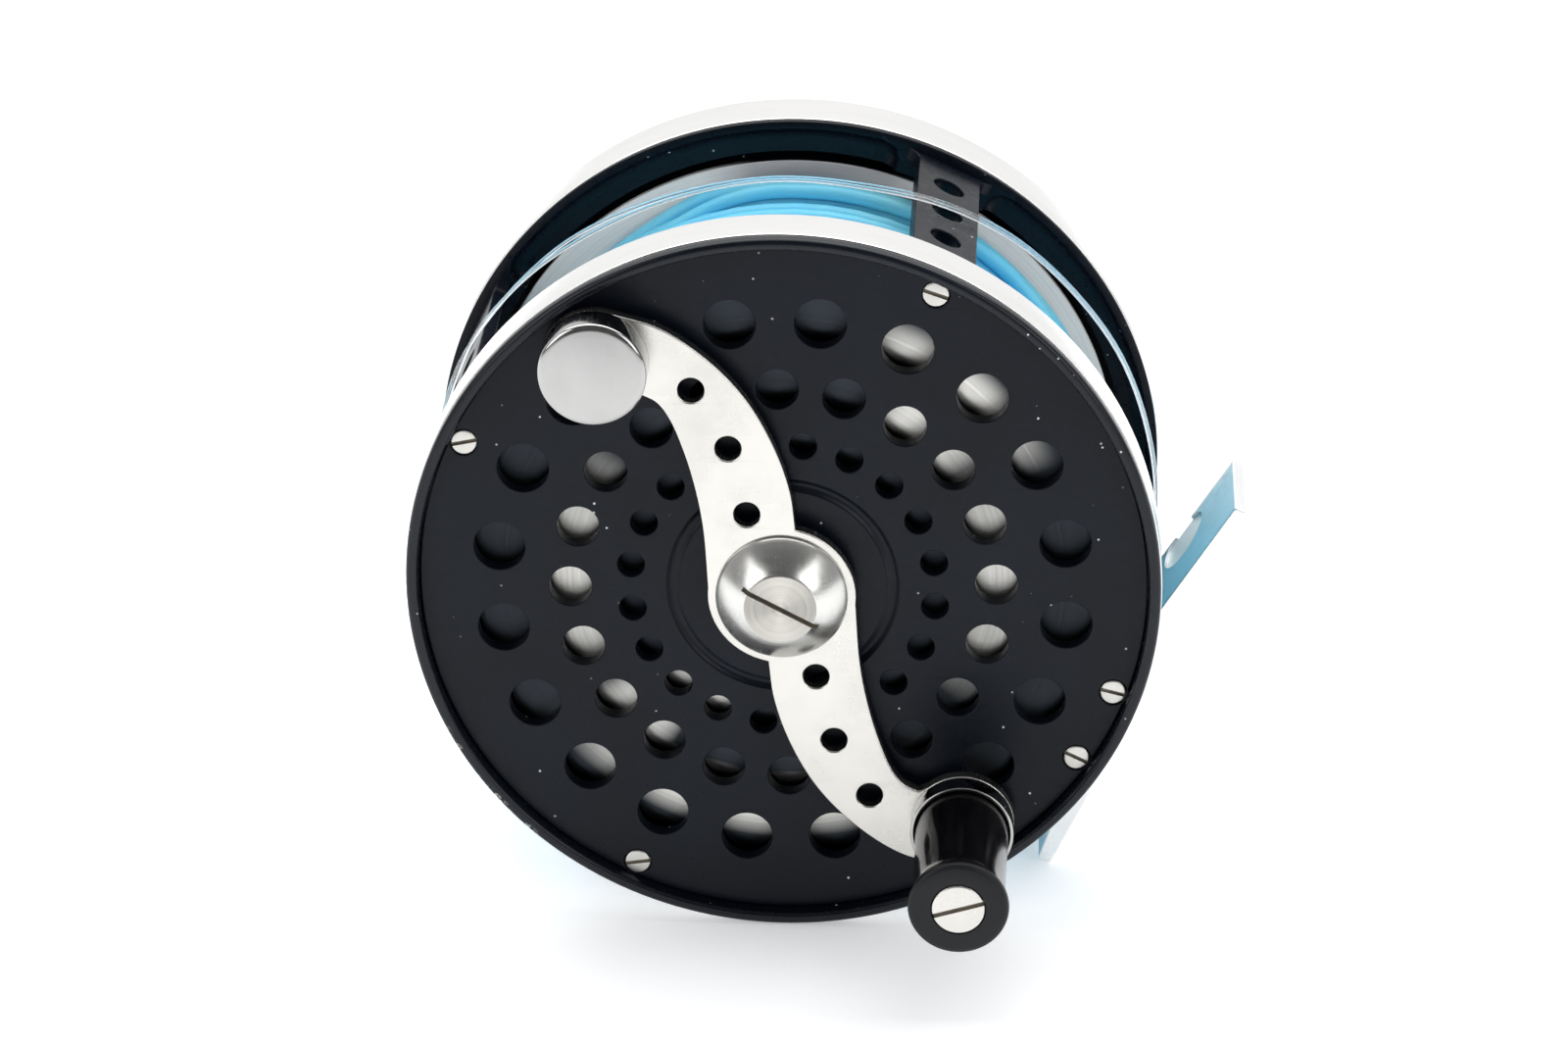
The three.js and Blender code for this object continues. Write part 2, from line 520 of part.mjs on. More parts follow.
function crankArm() {
  const outline = new THREE.Shape(armOutline());
  for (const [radius, angle] of ARM_HOLES) {
    outline.holes.push(roundPath(ARM_HOLE_RADIUS, 10, onCircle(radius, angle)));
    outline.holes.push(roundPath(ARM_HOLE_RADIUS, 10, onCircle(radius, angle + 180)));
  }
  outline.holes.push(roundPath(SHAFT_RADIUS + TIGHT_GAP, 24));
  outline.holes.push(roundPath(SPINDLE.radius + SPINDLE.gap, 16, ARM_END.clone().negate()));
  add(reel, 'crank_arm', slab(outline, ARM_FRONT, ARM_THICK), nickelSilver);

  const nutTop = ARM_FRONT - NUT.height;
  const nutBack = ARM_FRONT - TIGHT_GAP;
  const bore = SHAFT_RADIUS + TIGHT_GAP;
  const boreEnd = SHAFT_FRONT - FIT_GAP;
  const cone = NUT_CONE.map(([radius, behind]) => [radius, nutTop + behind]);
  const nut = revolve([
    [0, nutTop], ...cone, [NUT.base, ARM_FRONT - NUT.edge], [NUT.base, nutBack],
    [bore, nutBack], [bore, boreEnd], [0, boreEnd],
  ], 32, false);
  const nutSlot = slotCutter(NUT.slotWidth, NUT.slotLength, nutTop, NUT.slotDepth, NUT.slotAngle);
  add(reel, 'crank_nut', cut(nut, nutSlot), nickelSilver);
}

function counterweight() {
  const back = ARM_FRONT - TIGHT_GAP;
  const rim = ARM_FRONT - WEIGHT.height;
  const faceRadius = WEIGHT.radius - WEIGHT.bevel;
  const dome = [0, 1, 2, 3].map((step) => {
    const share = step / 3;
    return [share * faceRadius, rim - WEIGHT.dome * (1 - share ** 2)];
  });
  const weight = revolve([
    ...dome, [WEIGHT.radius, rim + WEIGHT.bevel], [WEIGHT.radius, back], [0, back],
  ], 32, false);
  add(reel, 'counterweight', weight, nickelSilver).position.set(ARM_END.x, 0, ARM_END.y);
}

function knobGroup() {
  const place = (mesh) => mesh.position.set(-ARM_END.x, 0, -ARM_END.y);
  const back = ARM_FRONT - TIGHT_GAP;
  const floor = ARM_FRONT - CUP.floor;
  const cupBore = SPINDLE.radius + SPINDLE.gap;
  const cup = revolve([
    [cupBore, floor], [CUP.inner, floor], [CUP.inner, ARM_FRONT - CUP.height],
    [CUP.outer, ARM_FRONT - CUP.height], [CUP.outer, back], [cupBore, back],
  ], 24);
  place(add(reel, 'knob_collar', cup, nickelSilver));

  const bore = SPINDLE.radius + RUN_GAP;
  const seat = SPINDLE.front + SPINDLE.headThick + SPINDLE.gap;
  const seatRadius = SPINDLE.head + SPINDLE.gap;
  const knobBack = KNOB_PROFILE[0][1];
  const knobFront = KNOB_PROFILE.at(-1)[1];
  const knob = revolve([
    [bore, knobBack], [bore, seat], [seatRadius, seat], [seatRadius, knobFront],
    ...KNOB_PROFILE.toReversed(),
  ], 24);
  place(add(reel, 'knob', knob, horn));

  const end = ARM_FRONT + ARM_THICK;
  const blank = revolve([
    [0, SPINDLE.front], [SPINDLE.head, SPINDLE.front], [SPINDLE.head, SPINDLE.front + SPINDLE.headThick],
    [SPINDLE.radius, SPINDLE.front + SPINDLE.headThick], [SPINDLE.radius, end], [0, end],
  ], 24, false);
  const { slotWidth, slotDepth, slotAngle } = SPINDLE;
  const slot = slotCutter(slotWidth, 3 * SPINDLE.head, SPINDLE.front, slotDepth, slotAngle);
  place(add(reel, 'knob_spindle', cut(blank, slot), steel));
}

// ---- leader: the thin end of the line, wound round the outside of the pillars ----
function leader() {
  const route = LEADER_ROUTE.map(([angle, radius, depth]) => {
    const at = onCircle(radius, angle);
    return new THREE.Vector3(at.x, depth, at.y);
  });
  const section = roundPath(LEADER_RADIUS, 8, new THREE.Vector2(0, 0), THREE.Shape);
  const extrudePath = new THREE.CatmullRomCurve3(route, false, 'centripetal');
  const options = { steps: LEADER_STEPS, extrudePath, bevelEnabled: false };
  const geometry = new THREE.ExtrudeGeometry(section, options);
  add(reel, 'leader', geometry, clearMono);
}

frontRings();
rearRings();
frontPlate();
rearPlate();
plateScrews();
pillars();
footGroup();
bushings();
spool();
clickCheck();
tensionKnob();
crankArm();
counterweight();
knobGroup();
leader();

// The origin is under the middle of the reel's box, on the surface that the rims stand on.
const box = new THREE.Box3().setFromObject(reel, true);
reel.position.set(-(box.min.x + box.max.x) / 2, -(box.min.y + box.max.y) / 2, -box.min.z);
const part = new THREE.Group();
part.add(reel);

export default part;
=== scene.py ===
"""Looks of a fly fishing reel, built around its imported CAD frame.

Sizes are in millimetres in the reel's own frame: X to the right, depth away from the crank side, Z up,
with the origin on the spool axis at the front plate's face. Meshes are made in metres.
"""
import json
import math
import random

import bmesh
import bpy
from mathutils import Euler, Matrix, Vector


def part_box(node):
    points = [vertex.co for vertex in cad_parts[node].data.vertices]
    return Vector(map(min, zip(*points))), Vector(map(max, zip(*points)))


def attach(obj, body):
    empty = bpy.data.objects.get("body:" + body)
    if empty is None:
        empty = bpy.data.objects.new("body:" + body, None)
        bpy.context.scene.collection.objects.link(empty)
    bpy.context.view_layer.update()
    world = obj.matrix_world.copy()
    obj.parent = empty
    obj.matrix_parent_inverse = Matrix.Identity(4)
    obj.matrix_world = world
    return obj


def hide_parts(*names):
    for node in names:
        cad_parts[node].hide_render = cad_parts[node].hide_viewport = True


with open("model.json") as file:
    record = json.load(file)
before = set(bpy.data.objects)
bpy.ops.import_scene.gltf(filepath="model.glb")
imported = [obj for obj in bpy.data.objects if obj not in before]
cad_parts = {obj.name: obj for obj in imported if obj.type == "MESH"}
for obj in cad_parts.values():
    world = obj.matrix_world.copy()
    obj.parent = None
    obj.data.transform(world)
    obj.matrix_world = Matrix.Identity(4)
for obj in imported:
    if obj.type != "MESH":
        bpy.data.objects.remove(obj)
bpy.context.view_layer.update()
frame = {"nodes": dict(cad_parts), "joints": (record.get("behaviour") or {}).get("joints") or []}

MM = 0.001
JOINTS = {joint["name"]: joint for joint in frame["joints"]}
SPOOL_AXIS = Vector(JOINTS["spool_spin"]["pos_m"])
PLATE_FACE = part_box("front_plate")[0].y
ORIGIN = Vector((SPOOL_AXIS.x, PLATE_FACE, SPOOL_AXIS.z))


def depths(node):
    """Where a CAD node starts and ends along the depth, in millimetres."""
    low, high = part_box(node)
    return (low.y - ORIGIN.y) / MM, (high.y - ORIGIN.y) / MM


def radius_of(node):
    """Half the width of a round CAD node, in millimetres."""
    low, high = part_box(node)
    return (high.x - low.x) / 2 / MM


def centre_of(node):
    """The X and Z of a CAD node's middle, in millimetres."""
    low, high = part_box(node)
    middle = ((low + high) / 2 - ORIGIN) / MM
    return middle.x, middle.z


# ---- sizes read from the CAD frame ----
RIM_RADIUS = radius_of("front_rim_band")
LIP_FRONT = depths("front_frame_ring")[0]
BAND_END = depths("front_rim_band")[1]
REAR_START = depths("rear_frame_ring")[0]
REAR_END = depths("rear_rim_band")[1]
PLATE_RADIUS = radius_of("front_plate")
PLATE_THICK = depths("front_plate")[1]
REAR_PLATE = depths("rear_plate")
FLANGE_RADIUS = radius_of("spool_front_flange")
FRONT_FLANGE = depths("spool_front_flange")
REAR_FLANGE = depths("spool_rear_flange")
LINE_RADIUS = radius_of("line_winding")
LINE_ENDS = depths("line_winding")
ARM_FACE, ARM_BACK = depths("crank_arm")
WEIGHT_AT = centre_of("counterweight")
KNOB_AT = centre_of("knob")
TENSION_AT = centre_of("tension_knob")
FOOT_DEPTHS = depths("foot")
SHAFT_RADIUS = radius_of("spool_shaft")

# ---- sizes that the looks need ----
FRAME_BORE = 42.6
FOOT_ANGLE = -25.2
PILLAR_ANGLES = {
    "pillar_top": FOOT_ANGLE + 90,
    "pillar_left": FOOT_ANGLE + 180,
    "pillar_bottom": FOOT_ANGLE + 270,
}
PILLAR = {"width": 8.6, "outer": 46.0, "thick": 1.7, "hole": 2.1, "pitch": 8.7, "flare": 2.2}
BRIDGE_WIDTH = 15.0
MID_DEPTH = (BAND_END + REAR_START) / 2
# The rear ring's face: a flat land outside the milled pockets, a softened edge, then the step that
# the rim band sits on. Both rings have the same step.
LAND_RADIUS = 46.2
LAND_END = 47.15
RING_EDGE = 47.3
BAND_STEP = 46.7
REAR_PLATE_SEAT = 46.0
POCKET = {"depth": 1.9, "corner": 3.0, "margin": 2.0}
HOLE_RINGS = (
    {"count": 20, "ring": 35.93, "bore": 3.25, "phase": 10.65},
    {"count": 20, "ring": 26.79, "bore": 2.68, "phase": 19.65},
    {"count": 20, "ring": 19.26, "bore": 1.73, "phase": 10.65},
)
GROOVE = {"inner": 13.1, "outer": 14.6, "depth": 0.5, "edge": 0.16, "behind": 0.3}
BUSHING_HOLE = 5.0
SCREW_RING = 44.0
FOOT_SCREW_SPREAD = 6.75
PLATE_SCREWS = {
    "top": (FOOT_ANGLE + 90, -19),
    "left": (FOOT_ANGLE + 180, 12),
    "bottom": (FOOT_ANGLE + 270, 9),
    "foot_upper": (FOOT_ANGLE + FOOT_SCREW_SPREAD, -14),
    "foot_lower": (FOOT_ANGLE - FOOT_SCREW_SPREAD, -26),
}
SCREW = {"head": 1.65, "thick": 1.0, "length": 4.5, "shank": 0.9, "slot": 0.5, "slot_depth": 0.45}
SCREW_SEAT = SCREW["head"] + 0.12
FOOT = {"half": 28.35, "outer": 51.3, "tip": 49.5, "root_out": 47.05, "root": 8.6, "pad": 7.5}
FOOT_RECESS = {"along": 16.9, "depth": 27.5, "radius": 4.3, "deep": 0.5}
FOOT_SCREW = {
    "along": 4.6, "head": 2.6, "thick": 1.4, "length": 6.0, "shank": 1.4, "hole": 1.6, "slot": 0.8,
    "slot_depth": 0.7, "angle": 30,
}
HUB_RADIUS = 9.3
ARM_HOLES = ((11.9, 111.4), (21.07, 108.4), (29.9, 112.0))
ARM_HOLE_RADIUS = 1.65
ARM_TIP_RADIUS = 6.6
NUT_SLOT = {"length": 10.7, "width": 0.65, "depth": 1.0, "angle": -28}
SPINDLE = {"radius": 1.8, "head": 3.3, "thick": 1.6, "slot": 0.6, "slot_depth": 0.7, "angle": 17}
CUP = {"outer": 6.55, "inner": 6.1, "floor": 0.5}
STRAND_RADIUS = 1.0
TURNED = 192

# The last wraps of line, which climb over the even layers: angle, depth and distance from the axis.
TOP_STRANDS = (
    ((160, 37.6, 36.4), (145, 37.9, 36.9), (129, 38.1, 37.3), (119, 38.1, 37.8), (113, 38.1, 38.4),
     (107, 38.1, 38.8), (96, 38.1, 38.7), (83, 38.1, 38.8), (60, 38.1, 39.0), (30, 38.1, 39.0),
     (5, 38.0, 38.8), (-25, 37.7, 38.2), (-50, 37.0, 37.2), (-75, 36.4, 36.4)),
    ((150, 35.2, 35.6), (135, 35.6, 36.2), (125, 35.9, 36.6), (116, 36.0, 37.1), (110, 36.1, 37.7),
     (104, 36.2, 38.4), (97, 36.2, 38.9), (88, 36.1, 39.0), (78, 36.2, 39.0), (65, 36.4, 39.0),
     (45, 36.3, 39.0), (20, 35.6, 38.9), (-5, 34.4, 38.8), (-35, 32.5, 38.7), (-65, 30.2, 38.7),
     (-95, 28.0, 38.6), (-120, 26.2, 37.9), (-140, 25.0, 36.8)),
)

# ---- the leader: the thin end of the line, wound twice round the outside of the pillars ----
LEADER_DIAMETER = 0.0005
# Angle in degrees, distance from the axis, depth.
LEADER_ROUTE = (
    (176, 40.7, 25.0), (186, 40.9, 25.2), (198, 42.0, 25.6), (210, 44.0, 25.9), (222, 46.2, 26.2),
    (233, 47.0, 26.6), (252, 46.9, 27.4), (276, 46.8, 29.2), (300, 46.9, 31.2), (318, 47.2, 32.2),
    (335, 47.2, 32.3), (351, 47.2, 31.0), (367, 46.8, 28.9), (387, 46.6, 27.4), (409, 46.7, 24.8),
    (424, 46.8, 22.6), (437, 46.7, 20.4), (453, 46.6, 20.3), (470, 46.6, 19.4), (487, 46.6, 20.2),
    (501, 46.7, 22.3), (514, 46.8, 23.3), (540, 46.7, 24.4), (572, 46.7, 25.6), (605, 46.9, 26.5),
    (636, 46.9, 28.2), (664, 47.1, 32.2), (695, 47.2, 33.4), (714, 47.1, 31.6), (729, 46.8, 29.7),
    (748, 46.6, 28.2), (770, 46.7, 25.7), (785, 46.8, 23.5), (799, 46.7, 21.2), (814, 46.6, 21.1),
    (832, 46.6, 20.8), (850, 46.7, 22.4), (874, 46.8, 24.6), (888, 46.7, 25.4), (900, 46.6, 26.0),
)

# Painted highlights on the two flanges: sectors painted bright where a lathe-turned face would catch
# reflections. Distance from the axis, direction, then the half width that is fully bright and the half
# width past which nothing is.
FLANGE_PAINTED_HIGHLIGHTS = (
    (26.8, 0, 7, 38), (26.8, 180, 7, 38), (26.8, 226.5, 0, 13), (26.8, 50, 0, 18), (33.4, 51, 3, 26),
    (32.4, 262, 2, 50), (19.3, 238, 4, 19),
)
# The rear flange's painted highlights, to its left and to its right.
REAR_PAINTED_HIGHLIGHTS = ((40.5, 0, 62, 74), (40.5, 180, 72, 82))
# How far from a sector's circle its painted highlight starts to fade and ends, in metres.
PAINTED_HIGHLIGHT_FADE = (0.002, 0.0048)

# ---- camera, in metres and degrees ----
VIEW = {
    "azimuth": 2.959, "elevation": 24.692, "lens": 125.09, "distance": 0.684, "right": 0.00013, "up": 0.0079,
}


def on_circle(radius, angle):
    return radius * math.cos(math.radians(angle)), radius * math.sin(math.radians(angle))


def reel_point(angle, radius, depth):
    """A point given round the spool axis, in metres from ORIGIN."""
    x, z = on_circle(radius, angle)
    return Vector((x, depth, z)) * MM


def in_scene(name, data):
    """A new object that is part of the scene."""
    thing = bpy.data.objects.new(name, data)
    bpy.context.scene.collection.objects.link(thing)
    return thing


def make_camera():
    turn = Euler((math.radians(90 - VIEW["elevation"]), 0, math.radians(VIEW["azimuth"])))
    data = bpy.data.cameras.new("camera")
    data.lens = VIEW["lens"]
    camera = in_scene("camera", data)
    camera.rotation_euler = turn
    camera.location = ORIGIN + turn.to_matrix() @ Vector((VIEW["right"], VIEW["up"], VIEW["distance"]))
    bpy.context.scene.camera = camera


# ---- mesh helpers ----
def link(name, data, at=(0, 0), turn=0):
    """A new object whose origin is on the plate's face at X and Z, turned about its own depth axis."""
    thing = in_scene(name, data)
    thing.location = ORIGIN + Vector((at[0], 0, at[1])) * MM
    thing.rotation_euler = (0, math.radians(-turn), 0)
    return thing


def dress(piece, material, body, slot, *nodes):
    """Gives a piece its material and its body, and hides the CAD nodes that it stands for. slot is not used.
    """
    piece.data.materials.clear()
    piece.data.materials.append(MATERIALS[material])
    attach(piece, body)
    if nodes:
        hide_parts(*nodes)
    return piece


def smooth(mesh):
    """Smooth shading, except along edges sharper than 38 degrees."""
    mesh.shade_smooth()
    mesh.set_sharp_from_angle(angle=math.radians(38))
    return mesh


def keep_flats(piece):
    """Shades large flat faces flat and the narrow bevels beside them smooth."""
    weighted = piece.modifiers.new("flat_faces", "WEIGHTED_NORMAL")
    weighted.keep_sharp = True
    weighted.weight = 80


def paint(piece, material, chosen):
    """Gives a further material to the faces for which chosen(face) is true."""
    piece.data.materials.append(MATERIALS[material])
    for face in piece.data.polygons:
        if chosen(face):
            face.material_index = len(piece.data.materials) - 1


def rounded(outline, steps=5):
    """Turns each corner that has a third number into a curve that starts that far from the corner."""
    points = []
    count = len(outline)
    for index, corner in enumerate(outline):
        here = Vector(corner[:2])
        if len(corner) < 3:
            points.append(tuple(here))
            continue
        before = Vector(outline[index - 1][:2]) - here
        after = Vector(outline[(index + 1) % count][:2]) - here
        back = before.normalized() * min(corner[2], 0.49 * before.length)
        ahead = after.normalized() * min(corner[2], 0.49 * after.length)
        for step in range(steps + 1):
            share = step / steps
            points.append(tuple(here + back * (1 - share) ** 2 + ahead * share**2))
    return points


def turned(name, outline_at, segments=TURNED):
    """A closed mesh swept about the depth axis. outline_at(angle) gives (radius, depth) points."""
    bm = bmesh.new()
    columns = []
    for index in range(segments):
        angle = 360 * index / segments
        column = []
        for row, (radius, depth) in enumerate(outline_at(angle)):
            if radius < 1e-6 and index:
                column.append(columns[0][row])
                continue
            column.append(bm.verts.new(reel_point(angle, radius, depth)))
        columns.append(column)
    rows = len(columns[0])
    for index, column in enumerate(columns):
        following = columns[(index + 1) % segments]
        for row in range(rows):
            below = (row + 1) % rows
            corners = []
            for vertex in (column[row], following[row], following[below], column[below]):
                if vertex not in corners:
                    corners.append(vertex)
            if len(corners) > 2:
                bm.faces.new(corners)
    bmesh.ops.recalc_face_normals(bm, faces=bm.faces)
    mesh = bpy.data.meshes.new(name)
    bm.to_mesh(mesh)
    bm.free()
    return smooth(mesh)


def lathe(name, outline, segments=TURNED, steps=5):
    points = rounded(outline, steps)
    return turned(name, lambda angle: points, segments)


def circle(radius, at=(0, 0), count=64):
    """The points of a round hole or disc."""
    points = []
    for index in range(count):
        x, z = on_circle(radius, 360 * index / count)
        points.append((at[0] + x, at[1] + z))
    return points


def evaluated_mesh(piece):
    """The mesh of an object with its modifiers or curve settings applied. The object is removed."""
    bpy.context.view_layer.update()
    mesh = bpy.data.meshes.new_from_object(piece.evaluated_get(bpy.context.evaluated_depsgraph_get()))
    bpy.data.objects.remove(piece)
    return mesh


def blank(name, loops, thick, bevel):
    """A flat plate in X and depth 0 to thick, cut from closed loops of (X, Z), with rounded edges."""
    curve = bpy.data.curves.new(name, "CURVE")
    curve.dimensions = "2D"
    curve.fill_mode = "BOTH"
    curve.extrude = (thick / 2 - bevel) * MM
    curve.bevel_depth = bevel * MM
    curve.bevel_resolution = 4
    curve.offset = -bevel * MM
    for loop in loops:
        spline = curve.splines.new("POLY")
        spline.points.add(len(loop) - 1)
        for point, (x, z) in zip(spline.points, loop):
            point.co = (x * MM, z * MM, 0, 1)
        spline.use_cyclic_u = True
    mesh = evaluated_mesh(in_scene(name, curve))
    mesh.transform(Matrix.Translation((0, thick / 2 * MM, 0)) @ Matrix.Rotation(math.radians(90), 4, "X"))
    bm = bmesh.new()
    bm.from_mesh(mesh)
    bmesh.ops.remove_doubles(bm, verts=bm.verts, dist=1e-7)
    bmesh.ops.recalc_face_normals(bm, faces=bm.faces)
    bm.to_mesh(mesh)
    bm.free()
    return smooth(mesh)


def joined(name, *meshes):
    bm = bmesh.new()
    for mesh in meshes:
        bm.from_mesh(mesh)
    result = bpy.data.meshes.new(name)
    bm.to_mesh(result)
    bm.free()
    return smooth(result)


def cut(mesh, *cutters):
    """The mesh with each cutter mesh taken away from it."""
    holder = in_scene("blank", mesh)
    tools = []
    for cutter in cutters:
        tool = in_scene("cutter", cutter)
        boolean = holder.modifiers.new("cut", "BOOLEAN")
        boolean.object = tool
        boolean.solver = "EXACT"
        tools.append(tool)
    result = evaluated_mesh(holder)
    for tool in tools:
        bpy.data.objects.remove(tool)
    return smooth(result)


def box_mesh(sizes, centre, turn=0):
    """A box with sizes along X, depth and Z, turned about the depth axis and then moved to centre."""
    bm = bmesh.new()
    bmesh.ops.create_cube(bm, size=1)
    bmesh.ops.scale(bm, vec=Vector(sizes) * MM, verts=bm.verts)
    bmesh.ops.rotate(bm, matrix=Matrix.Rotation(math.radians(-turn), 3, "Y"), verts=bm.verts)
    bmesh.ops.translate(bm, vec=Vector(centre) * MM, verts=bm.verts)
    mesh = bpy.data.meshes.new("box")
    bm.to_mesh(mesh)
    bm.free()
    return mesh


def slot_cutter(width, front, depth, angle, length=20):
    """A bar that cuts a slot of that width and depth into a face at depth front."""
    return box_mesh((length, 2 * depth, width), (0, front, 0), angle)


def smooth_path(points, per_span):
    """Points along a centripetal Catmull-Rom curve through the given points."""
    ends = [points[0] * 2 - points[1], *points, points[-1] * 2 - points[-2]]
    path = []
    for index in range(1, len(ends) - 2):
        p0, p1, p2, p3 = ends[index - 1:index + 3]
        t1 = (p1 - p0).length ** 0.5
        t2 = t1 + (p2 - p1).length ** 0.5
        t3 = t2 + (p3 - p2).length ** 0.5
        for step in range(per_span):
            t = t1 + (t2 - t1) * step / per_span
            a1 = p0 * ((t1 - t) / t1) + p1 * (t / t1)
            a2 = p1 * ((t2 - t) / (t2 - t1)) + p2 * ((t - t1) / (t2 - t1))
            a3 = p2 * ((t3 - t) / (t3 - t2)) + p3 * ((t - t2) / (t3 - t2))
            b1 = a1 * ((t2 - t) / t2) + a2 * (t / t2)
            b2 = a2 * ((t3 - t) / (t3 - t1)) + a3 * ((t - t1) / (t3 - t1))
            path.append(b1 * ((t2 - t) / (t2 - t1)) + b2 * ((t - t1) / (t2 - t1)))
    path.append(points[-1])
    return path


def smooth_outline(points, per_span):
    """A smooth path through flat points, which have two numbers each."""
    path = smooth_path([Vector((*point, 0)) for point in points], per_span)
    return [tuple(place[:2]) for place in path]


def tube_curve(name, paths, radius):
    """A curve object of round strands, with its points in metres relative to its own origin."""
    curve = bpy.data.curves.new(name, "CURVE")
    curve.dimensions = "3D"
    curve.bevel_depth = radius * MM
    curve.bevel_resolution = 3
    curve.use_fill_caps = True
    for path in paths:
        spline = curve.splines.new("POLY")
        spline.points.add(len(path) - 1)
        for point, place in zip(spline.points, path):
            point.co = (*place, 1)
        spline.use_smooth = True
    return curve


# ---- materials ----
class Shader:
    """A material's node tree, built one named node at a time."""

    def __init__(self, name, colour, roughness, metallic=0.0, specular=0.5):
        self.material = bpy.data.materials.new(name)
        self.material.use_nodes = True
        self.tree = self.material.node_tree
        self.surface = self.tree.nodes["Principled BSDF"]
        self.set("Base Color", (*colour, 1))
        self.set("Roughness", roughness)
        self.set("Metallic", metallic)
        self.set("Specular IOR Level", specular)
        self.place = self.node("ShaderNodeTexCoord").outputs["Object"]

    def set(self, socket, value):
        self.surface.inputs[socket].default_value = value

    def node(self, kind, inputs=None, **settings):
        made = self.tree.nodes.new(kind)
        for key, value in settings.items():
            setattr(made, key, value)
        for key, value in (inputs or {}).items():
            if isinstance(value, bpy.types.NodeSocket):
                self.tree.links.new(value, made.inputs[key])
            else:
                made.inputs[key].default_value = value
        return made

    def feed(self, socket, value):
        self.tree.links.new(value, self.surface.inputs[socket])

    def stretch(self, scale):
        return self.node("ShaderNodeMapping", {"Vector": self.place, "Scale": scale}).outputs[0]

    def noise(self, scale, detail=3.0, where=None, rough=0.55):
        inputs = {"Vector": where or self.place, "Scale": scale, "Detail": detail, "Roughness": rough}
        return self.node("ShaderNodeTexNoise", inputs).outputs["Fac"]

    def spots(self, scale):
        """Distance from the middle of each of a scatter of cells."""
        inputs = {"Vector": self.place, "Scale": scale}
        return self.node("ShaderNodeTexVoronoi", inputs).outputs["Distance"]

    def remap(self, value, low, high, to_low, to_high):
        inputs = {"Value": value, "From Min": low, "From Max": high, "To Min": to_low, "To Max": to_high}
        return self.node("ShaderNodeMapRange", inputs).outputs[0]

    def maths(self, operation, first, second=0.0):
        return self.node("ShaderNodeMath", {0: first, 1: second}, operation=operation).outputs[0]

    def times(self, first, second):
        return self.maths("MULTIPLY", first, second)

    def toward(self, vector, direction):
        """How far a vector reaches in a direction."""
        inputs = {0: vector, 1: direction}
        return self.node("ShaderNodeVectorMath", inputs, operation="DOT_PRODUCT").outputs["Value"]

    def blend(self, share, first, second):
        made = self.node("ShaderNodeMix", data_type="RGBA")
        for index, value in ((0, share), (6, first), (7, second)):
            if isinstance(value, bpy.types.NodeSocket):
                self.tree.links.new(value, made.inputs[index])
            else:
                made.inputs[index].default_value = value if index == 0 else (*value, 1)
        return made.outputs[2]

    def bump(self, height, strength, distance):
        inputs = {"Height": height, "Strength": strength, "Distance": distance}
        self.feed("Normal", self.node("ShaderNodeBump", inputs).outputs[0])

    def around(self):
        """Distance from the piece's own depth axis, in metres."""
        flat = self.stretch((1, 0, 1))
        return self.node("ShaderNodeVectorMath", {0: flat}, operation="LENGTH").outputs["Value"]

    def along_depth(self):
        return self.node("ShaderNodeSeparateXYZ", {0: self.place}).outputs["Y"]


BLACK = (0.0034, 0.0052, 0.0092)
DUST = (0.7, 0.72, 0.75)
BARE = (0.72, 0.71, 0.68)
# Painted shade: the dark colour of a turned flange outside its painted highlights.
PAINTED_SHADE_TURNED = (0.034, 0.039, 0.046)


def black_anodised(name, roughness, specular, worn=0.0):
    """Satin black dye over fine blasted aluminium, with dust, faint rubs and bare chips where worn."""
    shader = Shader(name, BLACK, roughness, specular=specular)
    cloud = shader.noise(60, 4)
    tint = shader.blend(shader.remap(cloud, 0.35, 0.7, 0, 1), BLACK, tuple(1.5 * part for part in BLACK))
    specks = shader.remap(shader.spots(450), 0.05, 0.085, 1, 0)
    sparse = shader.remap(shader.noise(110, 2), 0.52, 0.58, 0, 1)
    dust = shader.times(specks, sparse)
    colour = shader.blend(dust, tint, DUST)
    if worn:
        ragged = shader.noise(520, 4, rough=0.7)
        patches = shader.noise(48, 2)
        edge = shader.remap(shader.around(), 0.0466, 0.0474, 0, 1)
        marks = shader.times(edge, shader.remap(patches, 0.6 - worn, 0.68 - worn, 0, 1))
        low_left = shader.toward(shader.place, (-0.72, 0, -0.69))
        marks = shader.times(marks, shader.remap(low_left, 0.043, 0.047, 0, 1))
        chips = shader.times(marks, shader.remap(ragged, 0.53, 0.57, 0, 1))
        colour = shader.blend(chips, colour, BARE)
        shader.feed("Metallic", chips)
    shader.feed("Base Color", colour)
    shader.feed("Roughness", shader.remap(shader.noise(900, 2), 0.3, 0.7, roughness - 0.05, roughness + 0.06))
    shader.bump(shader.noise(2600, 2), 0.1, 0.00003)
    return shader.material


def rim_metal():
    """Bright polished aluminium: faint smears, a few grey stains and no visible grain."""
    colour = (0.87, 0.865, 0.855)
    shader = Shader("polished_rim", colour, 0.2, metallic=1.0)
    smear = shader.noise(1, 3, where=shader.stretch((60, 260, 60)))
    stain = shader.noise(1, 5, where=shader.stretch((190, 420, 190)), rough=0.7)
    patch = shader.noise(24, 2)
    dirt = shader.times(shader.remap(stain, 0.54, 0.66, 0, 0.75), shader.remap(patch, 0.6, 0.68, 0, 1))
    clean = shader.blend(shader.remap(smear, 0.4, 0.75, 0, 1), colour, (0.8, 0.795, 0.78))
    shader.feed("Base Color", shader.blend(dirt, clean, (0.36, 0.36, 0.33)))
    polish = shader.remap(smear, 0.3, 0.7, 0.17, 0.26)
    shader.feed("Roughness", shader.maths("ADD", polish, shader.times(dirt, 0.2)))
    return shader.material


